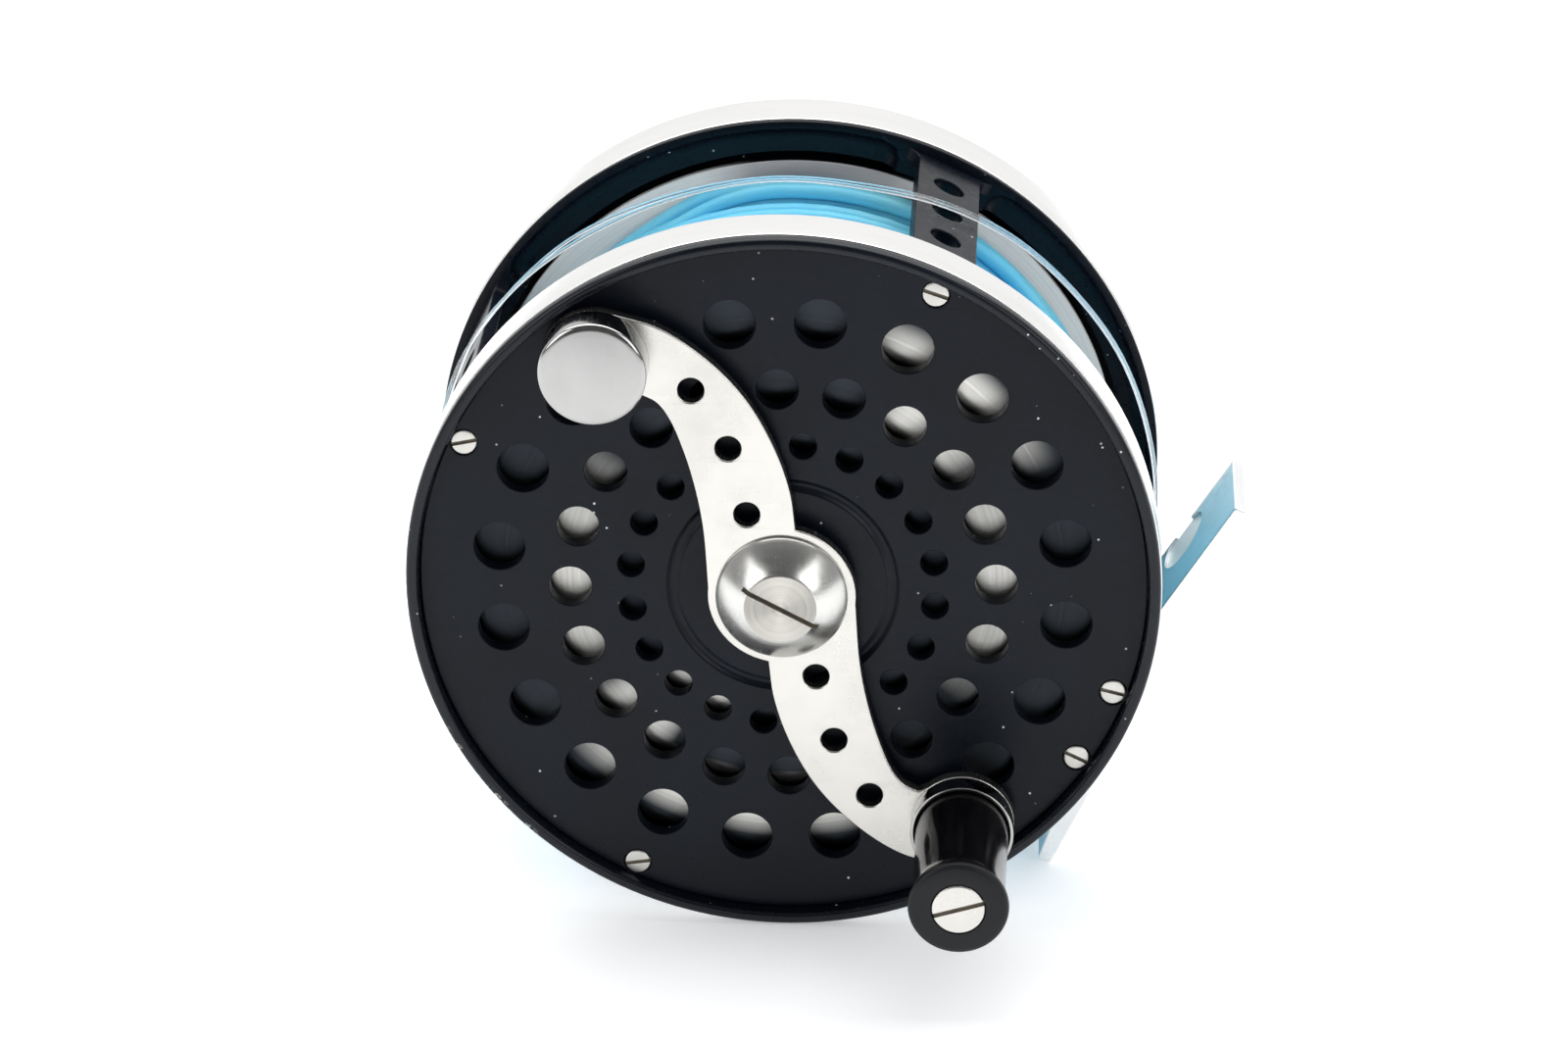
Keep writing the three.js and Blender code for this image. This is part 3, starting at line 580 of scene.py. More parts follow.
def grime():
    """Brown dirt packed into screw slots."""
    shader = Shader("grime", (0.1, 0.085, 0.06), 0.8, specular=0.2)
    shader.feed("Base Color", shader.blend(shader.noise(900, 4), (0.13, 0.11, 0.085), (0.38, 0.34, 0.28)))
    shader.bump(shader.noise(2400, 3), 0.3, 0.00006)
    return shader.material


def bright_metal(name, colour, roughness, smudge, scratch):
    """Polished metal with handling smudges and fine random scratches."""
    shader = Shader(name, colour, roughness, metallic=1.0)
    prints = shader.noise(70, 5, rough=0.65)
    fine = shader.noise(1, 3, where=shader.stretch((240, 240, 3400)))
    cross = shader.noise(1, 3, where=shader.stretch((3000, 300, 260)))
    hairs = shader.times(fine, cross)
    worn = shader.remap(prints, 0.35, 0.7, 0, smudge)
    scratched = shader.remap(hairs, 0.15, 0.45, roughness, roughness + scratch)
    shader.feed("Roughness", shader.maths("ADD", worn, scratched))
    darker_tone = tuple(0.86 * part for part in colour)
    shader.feed("Base Color", shader.blend(shader.remap(prints, 0.42, 0.75, 0, 0.8), colour, darker_tone))
    shader.bump(hairs, 0.03, 0.00002)
    return shader.material


def turned_metal(name, colour, roughness, ring_scale=2600, painted_highlights=(), darker_tone=PAINTED_SHADE_TURNED, highlight_metallic=1.0):
    """Metal faced on a lathe: fine rings about the axis that stretch each highlight along a radius.

    The bright sectors listed are painted highlights that stand in for the reflections of the turned face:
    distance from the axis, direction in degrees, and the half widths inside which a sector is fully bright
    and outside which the metal has the darker colour given, a painted shade. The last argument is how
    metallic the painted highlights are.
    """
    shader = Shader(name, colour, roughness, metallic=1.0)
    shader.set("Anisotropic", 0.92)
    tangent = shader.node("ShaderNodeTangent", direction_type="RADIAL", axis="Y").outputs[0]
    shader.feed("Tangent", tangent)
    out = shader.around()
    rings = shader.node("ShaderNodeCombineXYZ", {0: out}).outputs[0]
    feed_marks = shader.noise(ring_scale, 2, where=rings)
    shader.feed("Roughness", shader.remap(feed_marks, 0.3, 0.7, roughness - 0.04, roughness + 0.06))
    shade = tuple(0.88 * part for part in colour)
    base = shader.blend(shader.remap(feed_marks, 0.3, 0.7, 0, 1), colour, shade)
    if painted_highlights:
        flat = shader.stretch((1, 0, 1))
        aim = shader.node("ShaderNodeVectorMath", {0: flat}, operation="NORMALIZE").outputs[0]
        bright = 0.0
        for ring, direction, full, end in painted_highlights:
            x, z = on_circle(1, direction)
            facing = shader.toward(aim, (x, 0, z))
            sector = shader.remap(facing, math.cos(math.radians(end)), math.cos(math.radians(full)), 0, 1)
            away = shader.maths("ABSOLUTE", shader.maths("SUBTRACT", out, ring * MM))
            near = shader.remap(away, *PAINTED_HIGHLIGHT_FADE, 1, 0)
            bright = shader.maths("MAXIMUM", shader.times(sector, near), bright)
        # Painted highlights in the bright sectors, painted shade everywhere else.
        base = shader.blend(bright, darker_tone, base)
        shader.feed("Metallic", shader.remap(bright, 0, 1, 1, highlight_metallic))
    shader.feed("Base Color", base)
    shader.bump(feed_marks, 0.06, 0.00002)
    return shader.material


def horn():
    """Black buffalo horn, glossy on the side and dulled by the thumb on its end."""
    shader = Shader("horn", (0.004, 0.004, 0.005), 0.16, specular=0.28)
    grain = shader.noise(1, 4, where=shader.stretch((420, 60, 420)))
    streak = shader.remap(grain, 0.45, 0.75, 0, 1)
    colour = shader.blend(streak, (0.003, 0.003, 0.004), (0.008, 0.0075, 0.0075))
    end = shader.remap(shader.along_depth(), -0.0256, -0.0246, 1, 0)
    shader.feed("Base Color", shader.blend(end, colour, (0.006, 0.0065, 0.008)))
    rubbed = shader.remap(shader.noise(90, 3), 0.4, 0.7, 0.12, 0.24)
    shader.feed("Roughness", shader.maths("ADD", rubbed, shader.times(end, 0.26)))
    shader.bump(shader.noise(1500, 3), 0.05, 0.00004)
    return shader.material


def fly_line():
    """Soft plastic coating, pale blue with slightly greener and deeper stretches."""
    shader = Shader("fly_line", (0.17, 0.6, 0.84), 0.42, specular=0.35)
    drift = shader.noise(55, 2)
    colour = shader.blend(shader.remap(drift, 0.35, 0.65, 0, 1), (0.15, 0.64, 0.92), (0.24, 0.7, 0.85))
    shader.feed("Base Color", colour)
    shader.set("Subsurface Weight", 0.12)
    shader.set("Subsurface Radius", (0.3, 0.7, 1.0))
    shader.set("Subsurface Scale", 0.0006)
    shader.feed("Roughness", shader.remap(shader.noise(700, 2), 0.3, 0.7, 0.34, 0.5))
    shader.bump(shader.noise(1800, 2), 0.06, 0.00004)
    return shader.material


def clear_mono():
    """Clear nylon, slightly blue."""
    shader = Shader("clear_mono", (0.96, 0.985, 1.0), 0.05)
    shader.set("Transmission Weight", 0.9)
    shader.set("IOR", 1.53)
    shader.feed("Roughness", shader.remap(shader.noise(400, 2), 0.3, 0.7, 0.03, 0.1))
    return shader.material


def foot_blue():
    """The reel side of the foot: pale blue, paler towards the tip, with stains and a bare rear border."""
    shader = Shader("foot_blue", (0.3, 0.6, 0.72), 0.45, specular=0.4)
    depth = shader.along_depth()
    along = shader.node("ShaderNodeSeparateXYZ", {0: shader.place}).outputs["Z"]
    blue = shader.blend(shader.remap(along, 0.018, 0.028, 0, 1), (0.3, 0.6, 0.72), (0.42, 0.68, 0.78))
    stain = shader.noise(140, 6, rough=0.75)
    edge = shader.remap(depth, (FOOT_DEPTHS[1] - 6) * MM, (FOOT_DEPTHS[1] - 1.5) * MM, 0.15, 0.9)
    mask = shader.times(shader.remap(stain, 0.48, 0.6, 0, 1), edge)
    stained = shader.blend(mask, blue, (0.2, 0.33, 0.36))
    border = shader.remap(depth, (FOOT_DEPTHS[1] - 1.1) * MM, (FOOT_DEPTHS[1] - 0.95) * MM, 0, 1)
    shader.feed("Base Color", shader.blend(border, stained, (0.7, 0.69, 0.67)))
    shader.feed("Roughness", shader.remap(shader.noise(200, 3), 0.3, 0.7, 0.35, 0.5))
    return shader.material


def bare_foot():
    """Matt bare metal in the foot's recess, with beige dirt."""
    shader = Shader("bare_foot", (0.86, 0.86, 0.84), 0.4, metallic=0.1)
    dirt = shader.remap(shader.noise(150, 4), 0.5, 0.65, 0, 0.5)
    shader.feed("Base Color", shader.blend(dirt, (0.95, 0.95, 0.93), (0.7, 0.66, 0.57)))
    shader.feed("Roughness", shader.remap(shader.noise(260, 3), 0.3, 0.7, 0.34, 0.48))
    return shader.material


def paper_floor():
    """White paper that glows where the reel stands, painted light that fills the reel's shadows, and is
    painted darker further in front of it, a painted shade that dims what the metal reflects.
    """
    shader = Shader("floor", (0.9, 0.9, 0.91), 0.8, specular=0.1)
    tone = shader.noise(3, 2)
    paper = shader.blend(shader.remap(tone, 0.3, 0.7, 0, 1), (0.9, 0.908, 0.918), (0.92, 0.923, 0.928))
    # Painted shade: the paper is darker in front of the reel.
    near = shader.remap(shader.along_depth(), -0.8, -0.13, 0, 1)
    shader.feed("Base Color", shader.blend(near, (0.66, 0.66, 0.67), paper))
    # Painted light: the paper glows near the reel.
    shader.set("Emission Color", (0.97, 0.985, 1.0, 1))
    shader.feed("Emission Strength", shader.remap(near, 0, 1, 0.0, 0.36))
    return shader.material


MATERIALS = {
    "black": black_anodised("black_anodised", 0.32, 0.175),
    "gloss_black": black_anodised("gloss_black", 0.3, 0.16),
    "worn_black": black_anodised("worn_black", 0.24, 0.3, worn=0.1),
    "rim": rim_metal(),
    "grime": grime(),
    "foot": bright_metal("polished_foot", (0.88, 0.89, 0.89), 0.24, 0.12, 0.1),
    "nickel": bright_metal("nickel_silver", (0.67, 0.655, 0.62), 0.22, 0.08, 0.03),
    # The mirror material is nickel silver painted darker than the arm's: painted shade.
    "mirror": bright_metal("mirror_nickel_painted_shade", (0.46, 0.46, 0.45), 0.07, 0.05, 0.12),
    "nut": bright_metal("nut_nickel", (0.7, 0.695, 0.67), 0.2, 0.06, 0.05),
    "bare_foot": bare_foot(),
    "steel": bright_metal("steel", (0.62, 0.61, 0.575), 0.28, 0.1, 0.1),
    "brass": bright_metal("brass", (0.72, 0.52, 0.24), 0.28, 0.1, 0.1),
    "turned": turned_metal("turned_metal", (0.9, 0.895, 0.88), 0.45),
    # front_turned and rear_turned paint highlights into bright sectors and shade into the rest: the rear
    # flange's grey is painted shade, its white sectors painted highlights.
    "rear_turned": turned_metal("rear_turned", (0.95, 0.945, 0.93), 0.45, painted_highlights=REAR_PAINTED_HIGHLIGHTS,
                                darker_tone=(0.5, 0.51, 0.53), highlight_metallic=0.25),
    "front_turned": turned_metal("front_turned", (0.78, 0.77, 0.73), 0.34, painted_highlights=FLANGE_PAINTED_HIGHLIGHTS),
    "satin_turned": turned_metal("satin_turned", (0.57, 0.555, 0.51), 0.36, 1800),
    "horn": horn(),
    "line": fly_line(),
    "mono": clear_mono(),
    "foot_blue": foot_blue(),
}


# ---- frame rings, bands and plates ----
def front_rings():
    lip = RIM_RADIUS - 0.1
    lip_back = -0.42
    inner = PLATE_RADIUS + 0.15
    back = BAND_END - 0.3
    plate_back = PLATE_THICK + 0.2
    ring = lathe("front_ring", [
        (inner, 0.4), (inner, LIP_FRONT, 0.7), (lip, LIP_FRONT, 0.75), (lip, lip_back, 0.1),
        (BAND_STEP, lip_back), (BAND_STEP, back), (FRAME_BORE, back, 0.2), (FRAME_BORE, plate_back, 0.1),
        (inner, plate_back),
    ])
    dress(link("front_ring", ring), "worn_black", "frame", "black_anodised", "front_frame_ring")
    skin = RIM_RADIUS - 0.5
    turned_in = RIM_RADIUS - 1.2
    band = lathe("front_band", [
        (skin, -0.3), (RIM_RADIUS, -0.3, 0.2), (RIM_RADIUS, BAND_END, 0.3), (turned_in, BAND_END, 0.15),
        (turned_in, BAND_END - 0.2), (skin, BAND_END - 0.2),
    ])
    dress(link("front_band", band), "rim", "frame", "polished_rim", "front_rim_band")


def pocket_depth(angle, radius):
    """How deep the rear ring's face is milled at a place. Pockets run between the pillars."""
    gap = 1e9
    stations = [*PILLAR_ANGLES.values(), FOOT_ANGLE]
    for station in stations:
        width = BRIDGE_WIDTH if station == FOOT_ANGLE else PILLAR["width"]
        apart = abs((angle - station + 180) % 360 - 180)
        gap = min(gap, math.radians(apart) * radius - width / 2 - POCKET["margin"])
    inward = LAND_RADIUS - radius
    corner = POCKET["corner"]
    if gap < corner and inward < corner:
        inside = corner - math.hypot(corner - gap, corner - inward)
    else:
        inside = min(gap, inward)
    share = min(max(inside / POCKET["depth"], 0), 1)
    return POCKET["depth"] * math.sqrt(1 - (1 - share) ** 2)


def rear_rings():
    shelf = REAR_PLATE[0] - 0.3
    radii = [FRAME_BORE, 43.1, 43.6, 44.0]
    # The pocket's wall curves up to the land, and stops short of it to leave a small chamfer.
    radii += [LAND_RADIUS - POCKET["depth"] * (1 - math.cos(math.radians(turn))) for turn in range(90, 5, -7)]
    step = REAR_START + 0.6
    back = REAR_PLATE[1] - 0.1
    edge = [(LAND_RADIUS + 0.15, REAR_START), (LAND_END, REAR_START)]
    edge += [(RING_EDGE - 0.04, REAR_START + 0.04), (RING_EDGE, REAR_START + 0.15)]
    edge += rounded([(RING_EDGE, REAR_START), (RING_EDGE, step, 0.1), (BAND_STEP, step)])[1:]
    edge += [(BAND_STEP, back), (REAR_PLATE_SEAT, back), (REAR_PLATE_SEAT, shelf), (FRAME_BORE, shelf)]

    def outline(angle):
        return [*((radius, REAR_START + pocket_depth(angle, radius)) for radius in radii), *edge]

    ring = turned("rear_ring", outline, 1080)
    dress(link("rear_ring", ring), "gloss_black", "frame", "black_anodised", "rear_frame_ring")
    skin = RIM_RADIUS - 0.5
    band = lathe("rear_band", [
        (skin, step), (RIM_RADIUS, step, 0.25), (RIM_RADIUS, REAR_END, 0.7), (REAR_PLATE_SEAT, REAR_END, 0.3),
        (REAR_PLATE_SEAT, REAR_END - 0.4), (skin, REAR_END - 0.4),
    ])
    dress(link("rear_band", band), "rim", "frame", "polished_rim", "rear_rim_band")


def front_plate():
    loops = [circle(PLATE_RADIUS, count=TURNED)]
    for ring in HOLE_RINGS:
        for index in range(ring["count"]):
            at = on_circle(ring["ring"], ring["phase"] + 360 * index / ring["count"])
            loops.append(circle(ring["bore"], at, 48))
    for angle, _ in PLATE_SCREWS.values():
        loops.append(circle(SCREW_SEAT, on_circle(SCREW_RING, angle), 40))
    inner, outer, edge, behind = GROOVE["inner"], GROOVE["outer"], GROOVE["edge"], GROOVE["behind"]
    loops += [circle(outer, count=128), circle(inner, count=128), circle(BUSHING_HOLE)]
    face = blank("plate_face", loops, PLATE_THICK, 0.15)
    # The groove goes right through the blank, and this ring with a rounded hollow closes it again.
    floor = lathe("groove_floor", [
        (inner - behind, edge), (inner + 0.03, edge, 0.05), (inner + 0.5, GROOVE["depth"], 0.4),
        (outer - 0.5, GROOVE["depth"], 0.4), (outer - 0.03, edge, 0.05), (outer + behind, edge),
        (outer + behind, PLATE_THICK - 0.1), (inner - behind, PLATE_THICK - 0.1),
    ])
    plate = link("plate", joined("plate", face, floor))
    keep_flats(dress(plate, "black", "frame", "black_anodised", "front_plate"))


def rear_plate():
    start, end = REAR_PLATE
    loops = [circle(PLATE_RADIUS, count=TURNED), circle(BUSHING_HOLE), circle(1.5, TENSION_AT, 32)]
    for angle, _ in PLATE_SCREWS.values():
        loops.append(circle(SCREW_SEAT, on_circle(SCREW_RING, angle), 40))
    mesh = blank("back", loops, end - start, 0.2)
    mesh.transform(Matrix.Translation((0, start * MM, 0)))
    back = link("back", mesh)
    keep_flats(dress(back, "black", "frame", "black_anodised", "rear_plate"))


def screw_mesh(name, sizes):
    """A slotted screw with its head's face at depth 0."""
    head, thick, shank, length = (sizes[key] for key in ("head", "thick", "shank", "length"))
    outline = [(0, 0), (head, 0, 0.25), (head, thick), (shank, thick), (shank, length), (0, length)]
    return cut(lathe(name, outline, 48, 4), slot_cutter(sizes["slot"], 0, sizes["slot_depth"], 0))


def dirty_slot(piece, front, depth, reach):
    """Packs dirt into the slot of a head: the faces below its surface and within reach of its axis."""
    def in_slot(face):
        sunk = front + 0.05 < face.center.y / MM < front + depth + 0.01
        return sunk and math.hypot(face.center.x, face.center.z) < reach * MM

    paint(piece, "grime", in_slot)


def plate_screws():
    mesh = screw_mesh("plate_screw", SCREW)
    for name, (angle, slot_angle) in PLATE_SCREWS.items():
        at = on_circle(SCREW_RING, angle)
        front = link(f"screw_{name}", mesh.copy(), at, slot_angle)
        keep_flats(dress(front, "steel", "frame", "steel", f"front_screw_{name}"))
        dirty_slot(front, 0, SCREW["slot_depth"], 0.7 * SCREW["head"])
        rear = link(f"back_screw_{name}", mesh.copy(), at)
        rear.location.y = ORIGIN.y + REAR_PLATE[1] * MM
        rear.rotation_euler = Euler((0, math.radians(slot_angle), math.pi))
        keep_flats(dress(rear, "steel", "frame", "steel", f"rear_screw_{name}"))
        dirty_slot(rear, 0, SCREW["slot_depth"], 0.7 * SCREW["head"])


# ---- pillars, bridge and foot ----
def strap_loops(width, holes):
    """A strap drawn across its width and along the depth, flared where it meets the two rings."""
    flare = PILLAR["flare"]
    start, end = BAND_END - 0.4, REAR_START + 0.05
    side = []
    for step in range(9):
        share = math.radians(90 * step / 8)
        side.append((width / 2 + flare * (1 - math.sin(share)), start + flare * (1 - math.cos(share))))
    for step in range(9):
        share = math.radians(90 * (8 - step) / 8)
        side.append((width / 2 + flare * (1 - math.sin(share)), end - flare * (1 - math.cos(share))))
    other = [(-across, along) for across, along in reversed(side)]
    return [side + other, *holes]


def strap(name, width, angle, holes, node):
    mesh = blank(name, strap_loops(width, holes), PILLAR["thick"], 0.18)
    # The blank is drawn in X and Z: stand its Z along the depth and its thickness along the radius.
    mesh.transform(Matrix(((0, -1, 0, PILLAR["outer"] * MM), (0, 0, 1, 0), (1, 0, 0, 0), (0, 0, 0, 1))))
    piece = link(name, mesh, turn=angle)
    mesh.flip_normals()
    keep_flats(dress(piece, "gloss_black", "frame", "black_anodised", node))


def pillars():
    for name, angle in PILLAR_ANGLES.items():
        holes = []
        for step in (-1, 0, 1):
            holes.append(circle(PILLAR["hole"], (0, MID_DEPTH + step * PILLAR["pitch"]), 40))
        strap(f"strap_{name}", PILLAR["width"], angle, holes, name)
    bolts = [circle(FOOT_SCREW["hole"], (side * FOOT_SCREW["along"], MID_DEPTH), 32) for side in (-1, 1)]
    strap("strap_foot", BRIDGE_WIDTH, FOOT_ANGLE, bolts, "foot_bridge")


def foot():
    inner = PILLAR["outer"] + 0.1
    half, root, pad = FOOT["half"], FOOT["root"], FOOT["pad"]
    outline = rounded([
        (FOOT["outer"], -half, 0.5), (FOOT["outer"], half, 0.5), (FOOT["tip"], half, 0.3),
        (FOOT["root_out"], root, 3.0), (inner, pad, 0.3), (inner, -pad, 0.3),
        (FOOT["root_out"], -root, 3.0), (FOOT["tip"], -half, 0.3),
    ], 6)
    mesh = blank("foot_bar", [outline], FOOT_DEPTHS[1] - FOOT_DEPTHS[0], 0.25)
    mesh.transform(Matrix.Translation((0, FOOT_DEPTHS[0] * MM, 0)))
    outward = Matrix.Rotation(math.radians(-90), 4, "Z")

    def radial(points, depth, along):
        """A cutter turned about a radius of the reel, from (radius, distance out) points."""
        tool = lathe("foot_cutter", points, 64)
        tool.transform(Matrix.Translation((0, depth * MM, along * MM)) @ outward)
        return tool

    # The recess is milled square to the sloping inner face of the upper wing.
    rise = (FOOT["tip"] - FOOT["root_out"]) / (half - root)
    out = FOOT["root_out"] + rise * (FOOT_RECESS["along"] - root)
    place = Matrix.Translation(Vector((out, FOOT_RECESS["depth"], FOOT_RECESS["along"])) * MM)
    place @= Matrix.Rotation(math.atan(rise), 4, "Y") @ outward
    wide, deep = FOOT_RECESS["radius"], FOOT_RECESS["deep"]
    recess = lathe("recess_cutter", [(0, -3), (wide, -3), (wide, deep), (0, deep)], 96)
    recess.transform(place)
    seat = FOOT_SCREW["head"] + 0.15
    sunk = FOOT["outer"] - FOOT_SCREW["thick"] - 0.1
    seats = [radial([(0, sunk), (seat, sunk), (seat, 60), (0, 60)], MID_DEPTH, side * FOOT_SCREW["along"])
             for side in (-1, 1)]
    piece = link("foot_bar", cut(mesh, recess, *seats), turn=FOOT_ANGLE)
    dress(piece, "foot", "frame", "polished_foot", "foot")
    to_recess = place.inverted()

    def inward(face):
        return face.normal.x < -0.9

    def in_recess(face):
        return inward(face) and (to_recess @ face.center).y > deep * MM / 2 and face.center.z > root * MM

    paint(piece, "foot_blue", inward)
    paint(piece, "bare_foot", in_recess)
    keep_flats(piece)

    screw = screw_mesh("foot_screw", FOOT_SCREW)
    screw.transform(Matrix.Rotation(math.radians(FOOT_SCREW["angle"]), 4, "Y"))
    screw.transform(Matrix.Rotation(math.radians(90), 4, "Z"))
    screw.transform(Matrix.Translation(((FOOT["outer"] - 0.1) * MM, MID_DEPTH * MM, 0)))
    for node, side in (("foot_screw_lower", -1), ("foot_screw_upper", 1)):
        mesh = screw.copy()
        mesh.transform(Matrix.Translation((0, 0, side * FOOT_SCREW["along"] * MM)))
        bolt = link(f"bolt_{node}", mesh, turn=FOOT_ANGLE)
        keep_flats(dress(bolt, "steel", "frame", "steel", node))


# ---- spool, line and leader ----
def flanges():
    bore = SHAFT_RADIUS + 0.05
    for side, (start, end), lean in (("front", FRONT_FLANGE, 0.0), ("rear", REAR_FLANGE, 0.7)):
        mesh = lathe(f"{side}_flange", [
            (bore, start), (FLANGE_RADIUS - 3.2, start, 0.5), (FLANGE_RADIUS, start + lean, 0.2),
            (FLANGE_RADIUS, end, 0.25), (bore, end),
        ])
        piece = link(f"{side}_flange", mesh)
        # The flange materials carry painted highlights and painted shade.
        dress(piece, f"{side}_turned", "spool", "turned_metal", f"spool_{side}_flange")


def wound_strand(rng, radius):
    """One layer of line, wound from flange to flange, in metres about the spool axis."""
    per_turn = 60
    first = LINE_ENDS[0] + STRAND_RADIUS
    last = LINE_ENDS[1] - STRAND_RADIUS
    turns = int((last - first) / (2.06 * STRAND_RADIUS))
    phases = [rng.uniform(0, 360) for _ in range(3)]
    path = []
    for step in range(turns * per_turn + 1):
        angle = 360 * step / per_turn
        sway = math.sin(math.radians(0.37 * angle + phases[0]))
        sway += 0.6 * math.sin(math.radians(0.113 * angle + phases[1]))
        depth = first + (last - first) * step / (turns * per_turn) + 0.1 * sway
        depth = min(max(depth, first), last)
        out = radius + 0.06 * math.sin(math.radians(0.71 * angle + phases[2]))
        path.append(reel_point(angle, out, depth))
    return path


def winding():
    rng = random.Random(7)
    base = LINE_RADIUS - 2.9 * STRAND_RADIUS
    start, end = LINE_ENDS
    inner, outer = 30, base - 1.2
    core = lathe("line_core", [(inner, start), (outer, start, 0.5), (outer, end, 0.5), (inner, end)], 96)
    dress(link("line_core", core), "line", "spool", "fly_line")
    runs = [wound_strand(rng, base - 1.7), wound_strand(rng, base)]
    for stops in TOP_STRANDS:
        runs.append(smooth_path([reel_point(angle, radius, depth) for angle, depth, radius in stops], 12))
    strands = link("line_strands", tube_curve("line_strands", runs, STRAND_RADIUS))
    dress(strands, "line", "spool", "fly_line", "line_winding")


def leader():
    points = [ORIGIN + reel_point(*stop) for stop in LEADER_ROUTE]
    path = smooth_path(points, 8)
    piece = in_scene("leader_line", tube_curve("leader_line", [path], LEADER_DIAMETER / 2 / MM))
    dress(piece, "mono", "frame", "clear_mono", "leader")


# ---- crank ----
def half_arm():
    """One half of the S outline, from the hub round the end of one arm and back to the hub."""
    outward = (
        (1.7, 9.15), (1.0, 14.4), (-1.1, 20.7), (-4.5, 26.8), (-9.3, 32.0), (-15.0, 35.9), (-21.0, 37.7),
    )
    inward = (
        (-17.4, 27.0), (-15.5, 26.0), (-13.9, 23.8), (-11.9, 18.6), (-10.6, 13.6), (-9.8, 8.8), (-9.25, 1.0),
    )
    points = smooth_outline(outward, 8)
    for step in range(33):
        x, z = on_circle(ARM_TIP_RADIUS, 78 + (312 - 78) * step / 32)
        points.append((WEIGHT_AT[0] + x, WEIGHT_AT[1] + z))
    points += smooth_outline(inward, 8)
    points += [on_circle(HUB_RADIUS, 180 + (254 - 180) * step / 12) for step in range(13)]
    return points


def crank_arm():
    half = half_arm()
    loops = [[*half, *((-x, -z) for x, z in half)]]
    for radius, angle in ARM_HOLES:
        loops.append(circle(ARM_HOLE_RADIUS, on_circle(radius, angle), 40))
        loops.append(circle(ARM_HOLE_RADIUS, on_circle(radius, angle + 180), 40))
    loops.append(circle(SHAFT_RADIUS + 0.1, count=40))
    loops.append(circle(SPINDLE["radius"] + 0.1, KNOB_AT, 32))
    mesh = blank("arm", loops, ARM_BACK - ARM_FACE, 0.22)
    mesh.transform(Matrix.Translation((0, ARM_FACE * MM, 0)))
    keep_flats(dress(link("arm", mesh), "nickel", "spool", "nickel_silver", "crank_arm"))


def nut():
    base, back = radius_of("crank_nut"), ARM_FACE - 0.05
    top = depths("crank_nut")[0]
    body = lathe("nut", [
        (0, top), (4.55, top, 0.25), (5.75, top + 0.85, 0.9), (7.05, top + 2.05, 1.0),
        (8.0, back - 0.75, 0.5), (base, back - 0.35, 0.15), (base, back, 0.1), (0, back),
    ], TURNED, 6)
    slot = slot_cutter(NUT_SLOT["width"], top, NUT_SLOT["depth"], NUT_SLOT["angle"], NUT_SLOT["length"])
    piece = link("nut", cut(body, slot))
    dress(piece, "nut", "spool", "nickel_silver", "crank_nut")
    paint(piece, "satin_turned", lambda face: face.center.y < (top + 0.05) * MM)
    keep_flats(piece)
    dirty_slot(piece, top, NUT_SLOT["depth"], 3)


def counterweight():
    radius = radius_of("counterweight")
    front, back = depths("counterweight")
    rise = 0.5
    flat = radius - 0.4
    dome = []
    for step in range(14):
        out = flat * step / 13
        dome.append((out, front + rise * 0.8 * (out / flat) ** 2))
    outline = [*dome, (radius, front + rise + 0.15, 0.25), (radius, back, 0.1), (0, back)]
    piece = link("weight", lathe("weight", outline), WEIGHT_AT)
    # The mirror material's darker colour is painted shade.
    dress(piece, "mirror", "spool", "nickel_silver", "counterweight")


def knob():
    cup_front, cup_back = depths("knob_collar")
    cup_bore = SPINDLE["radius"] + 0.1
    cup_floor = cup_back - CUP["floor"]
    cup = lathe("cup", [
        (cup_bore, cup_floor), (CUP["inner"], cup_floor, 0.2), (CUP["inner"], cup_front, 0.12),
        (CUP["outer"], cup_front, 0.15), (CUP["outer"], cup_back, 0.1), (cup_bore, cup_back),
    ], 128)
    # The mirror material's darker colour is painted shade.
    dress(link("cup", cup, KNOB_AT), "mirror", "spool", "nickel_silver", "knob_collar")

    front, back = depths("knob")
    seat = depths("knob_spindle")[0] + SPINDLE["thick"] + 0.1
    side = smooth_outline((
        (5.9, back), (5.9, -7.0), (5.85, -10.5), (5.8, -14.5), (5.75, -18.5), (5.78, -21.0), (5.95, -23.4),
        (6.22, -24.6), (6.3, -25.2), (6.1, -25.75), (5.6, front),
    ), 6)
    bore, recess = SPINDLE["radius"] + 0.08, SPINDLE["head"] + 0.1
    outline = [(bore, back), *side, (recess, front, 0.15), (recess, seat), (bore, seat)]
    piece = link("grip", lathe("grip", outline, 128), KNOB_AT)
    dress(piece, "horn", "handle_knob", "horn", "knob")

    start, end = depths("knob_spindle")
    stem = lathe("stem", [
        (0, start), (SPINDLE["head"], start, 0.25), (SPINDLE["head"], start + SPINDLE["thick"]),
        (SPINDLE["radius"], start + SPINDLE["thick"]), (SPINDLE["radius"], end), (0, end),
    ], 96)
    slotted = cut(stem, slot_cutter(SPINDLE["slot"], start, SPINDLE["slot_depth"], SPINDLE["angle"]))
    piece = link("stem", slotted, KNOB_AT)
    keep_flats(dress(piece, "nickel", "spool", "steel", "knob_spindle"))
    dirty_slot(piece, start, SPINDLE["slot_depth"], 0.7 * SPINDLE["head"])


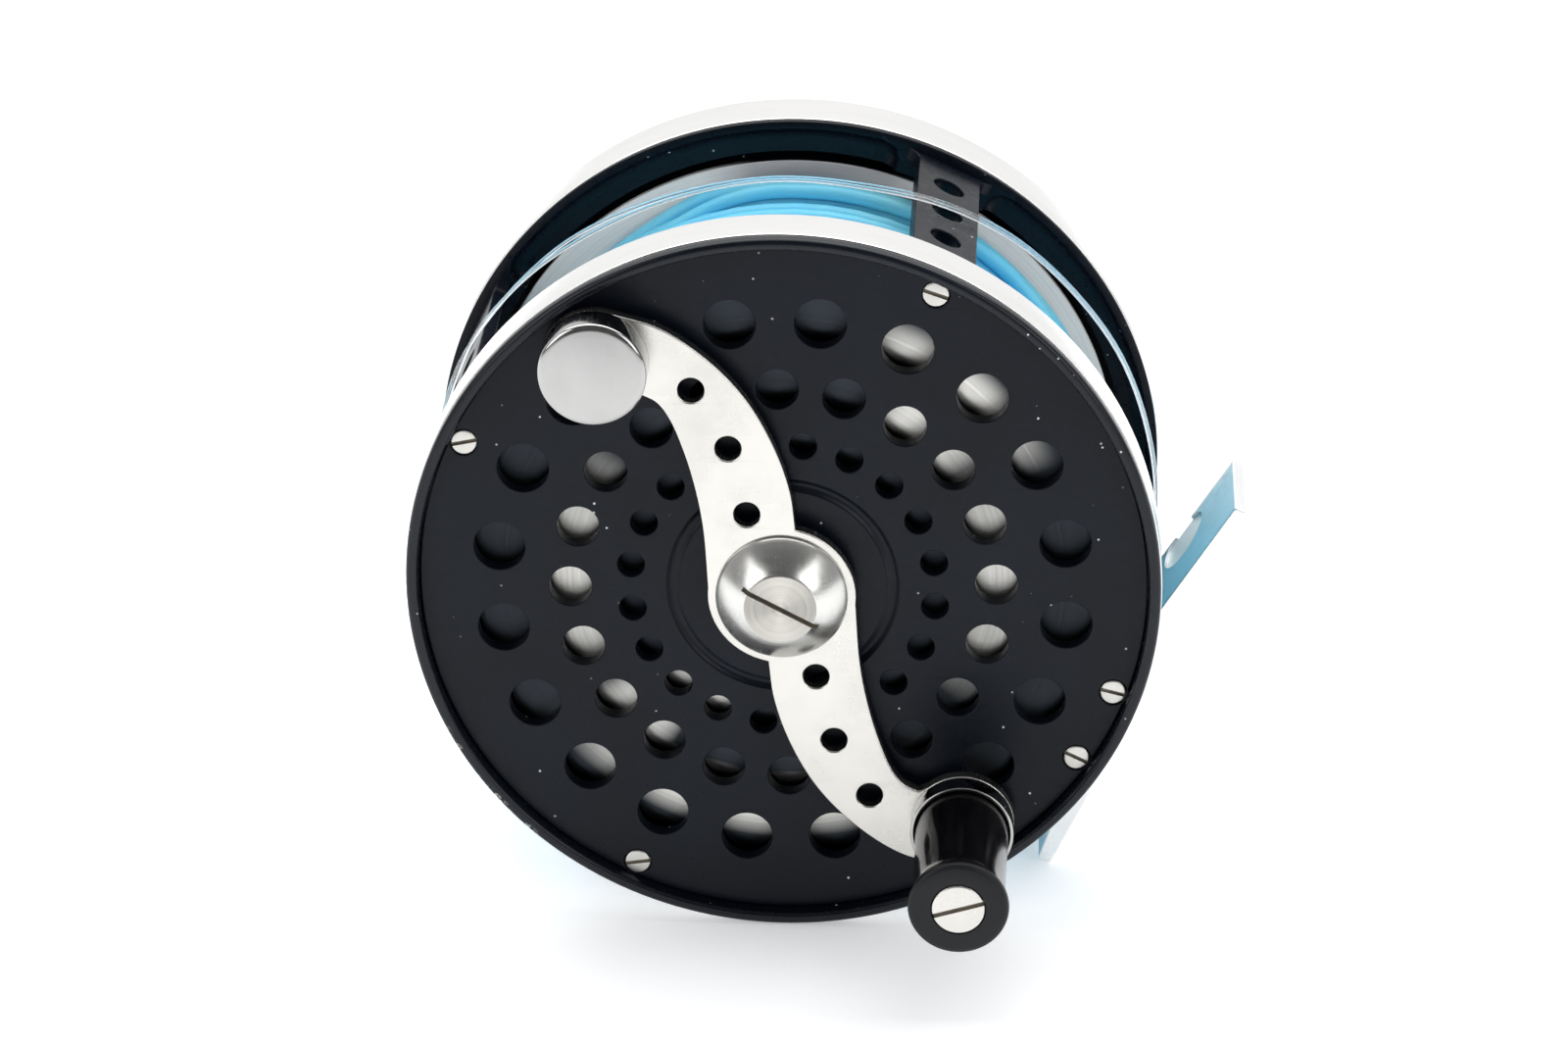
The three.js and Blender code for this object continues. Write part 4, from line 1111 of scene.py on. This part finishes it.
def tension_knob():
    start, end = depths("tension_knob")
    radius = radius_of("tension_knob")

    def outline(angle):
        flute = 0.17 * (1 - math.cos(math.radians(angle * 36)))
        return rounded([
            (0, start), (radius - 0.3, start, 0.2), (radius - flute, start + 0.5, 0.2),
            (radius - flute, end - 0.9, 0.3), (radius - 1.0, end, 0.5), (radius - 2.2, end, 0.2),
            (radius - 2.6, end - 0.3, 0.2), (0, end - 0.3),
        ])

    knurled = turned("tension_grip", outline, 432)
    piece = link("tension_grip", knurled, TENSION_AT)
    dress(piece, "nickel", "tension_knob", "polished_rim", "tension_knob")


def inner_parts():
    """CAD nodes that keep their own shape."""
    looks = {
        "steel": ("spool_shaft", "click_pawl", "pawl_post", "click_spring", "tension_cam"),
        "brass": ("click_gear", "front_bushing", "rear_bushing"),
        "turned": ("spool_arbor",),
    }
    for material, nodes in looks.items():
        for node in nodes:
            piece = frame["nodes"][node]
            piece.data.materials.clear()
            piece.data.materials.append(MATERIALS[material])


# ---- studio ----
def softbox(name, at, aim, width, height, power):
    data = bpy.data.lights.new(name, "AREA")
    data.shape = "RECTANGLE"
    data.size = width
    data.size_y = height
    data.energy = power
    lamp = in_scene(name, data)
    lamp.location = at
    lamp.rotation_euler = (Vector(aim) - Vector(at)).to_track_quat("-Z", "Y").to_euler()


def studio():
    mesh = bpy.data.meshes.new("floor")
    reach = 4.0
    corners = [(-reach, -reach, 0), (reach, -reach, 0), (reach, reach, 0), (-reach, reach, 0)]
    mesh.from_pydata(corners, [], [(0, 1, 2, 3)])
    mesh.materials.append(paper_floor())
    floor = in_scene("floor", mesh)
    softbox("overhead", (0.0, 0.45, 1.25), (0, 0.05, 0.0), 2.2, 1.3, 20)
    softbox("front_left", (-0.85, -0.75, 0.5), (0, 0, 0.05), 0.6, 0.7, 3.2)
    softbox("front_right", (0.85, -0.75, 0.5), (0, 0, 0.05), 0.6, 0.7, 3.2)

    world = bpy.data.worlds.new("room")
    world.use_nodes = True
    tree = world.node_tree
    place = tree.nodes.new("ShaderNodeTexCoord")
    parts = tree.nodes.new("ShaderNodeSeparateXYZ")
    level = tree.nodes.new("ShaderNodeMapRange")
    level.interpolation_type = "SMOOTHSTEP"
    for key, value in (("From Min", -0.5), ("From Max", 0.5), ("To Min", 0.12), ("To Max", 1.0)):
        level.inputs[key].default_value = value
    tree.links.new(place.outputs["Generated"], parts.inputs[0])
    tree.links.new(parts.outputs["Y"], level.inputs["Value"])
    tree.links.new(level.outputs[0], tree.nodes["Background"].inputs["Strength"])
    tree.nodes["Background"].inputs["Color"].default_value = (1.0, 1.0, 1.0, 1)
    bpy.context.scene.world = world
    bpy.context.scene.view_settings.view_transform = "Standard"


make_camera()
leader()
front_rings()
rear_rings()
front_plate()
rear_plate()
plate_screws()
pillars()
foot()
flanges()
winding()
crank_arm()
nut()
counterweight()
knob()
tension_knob()
inner_parts()
studio()
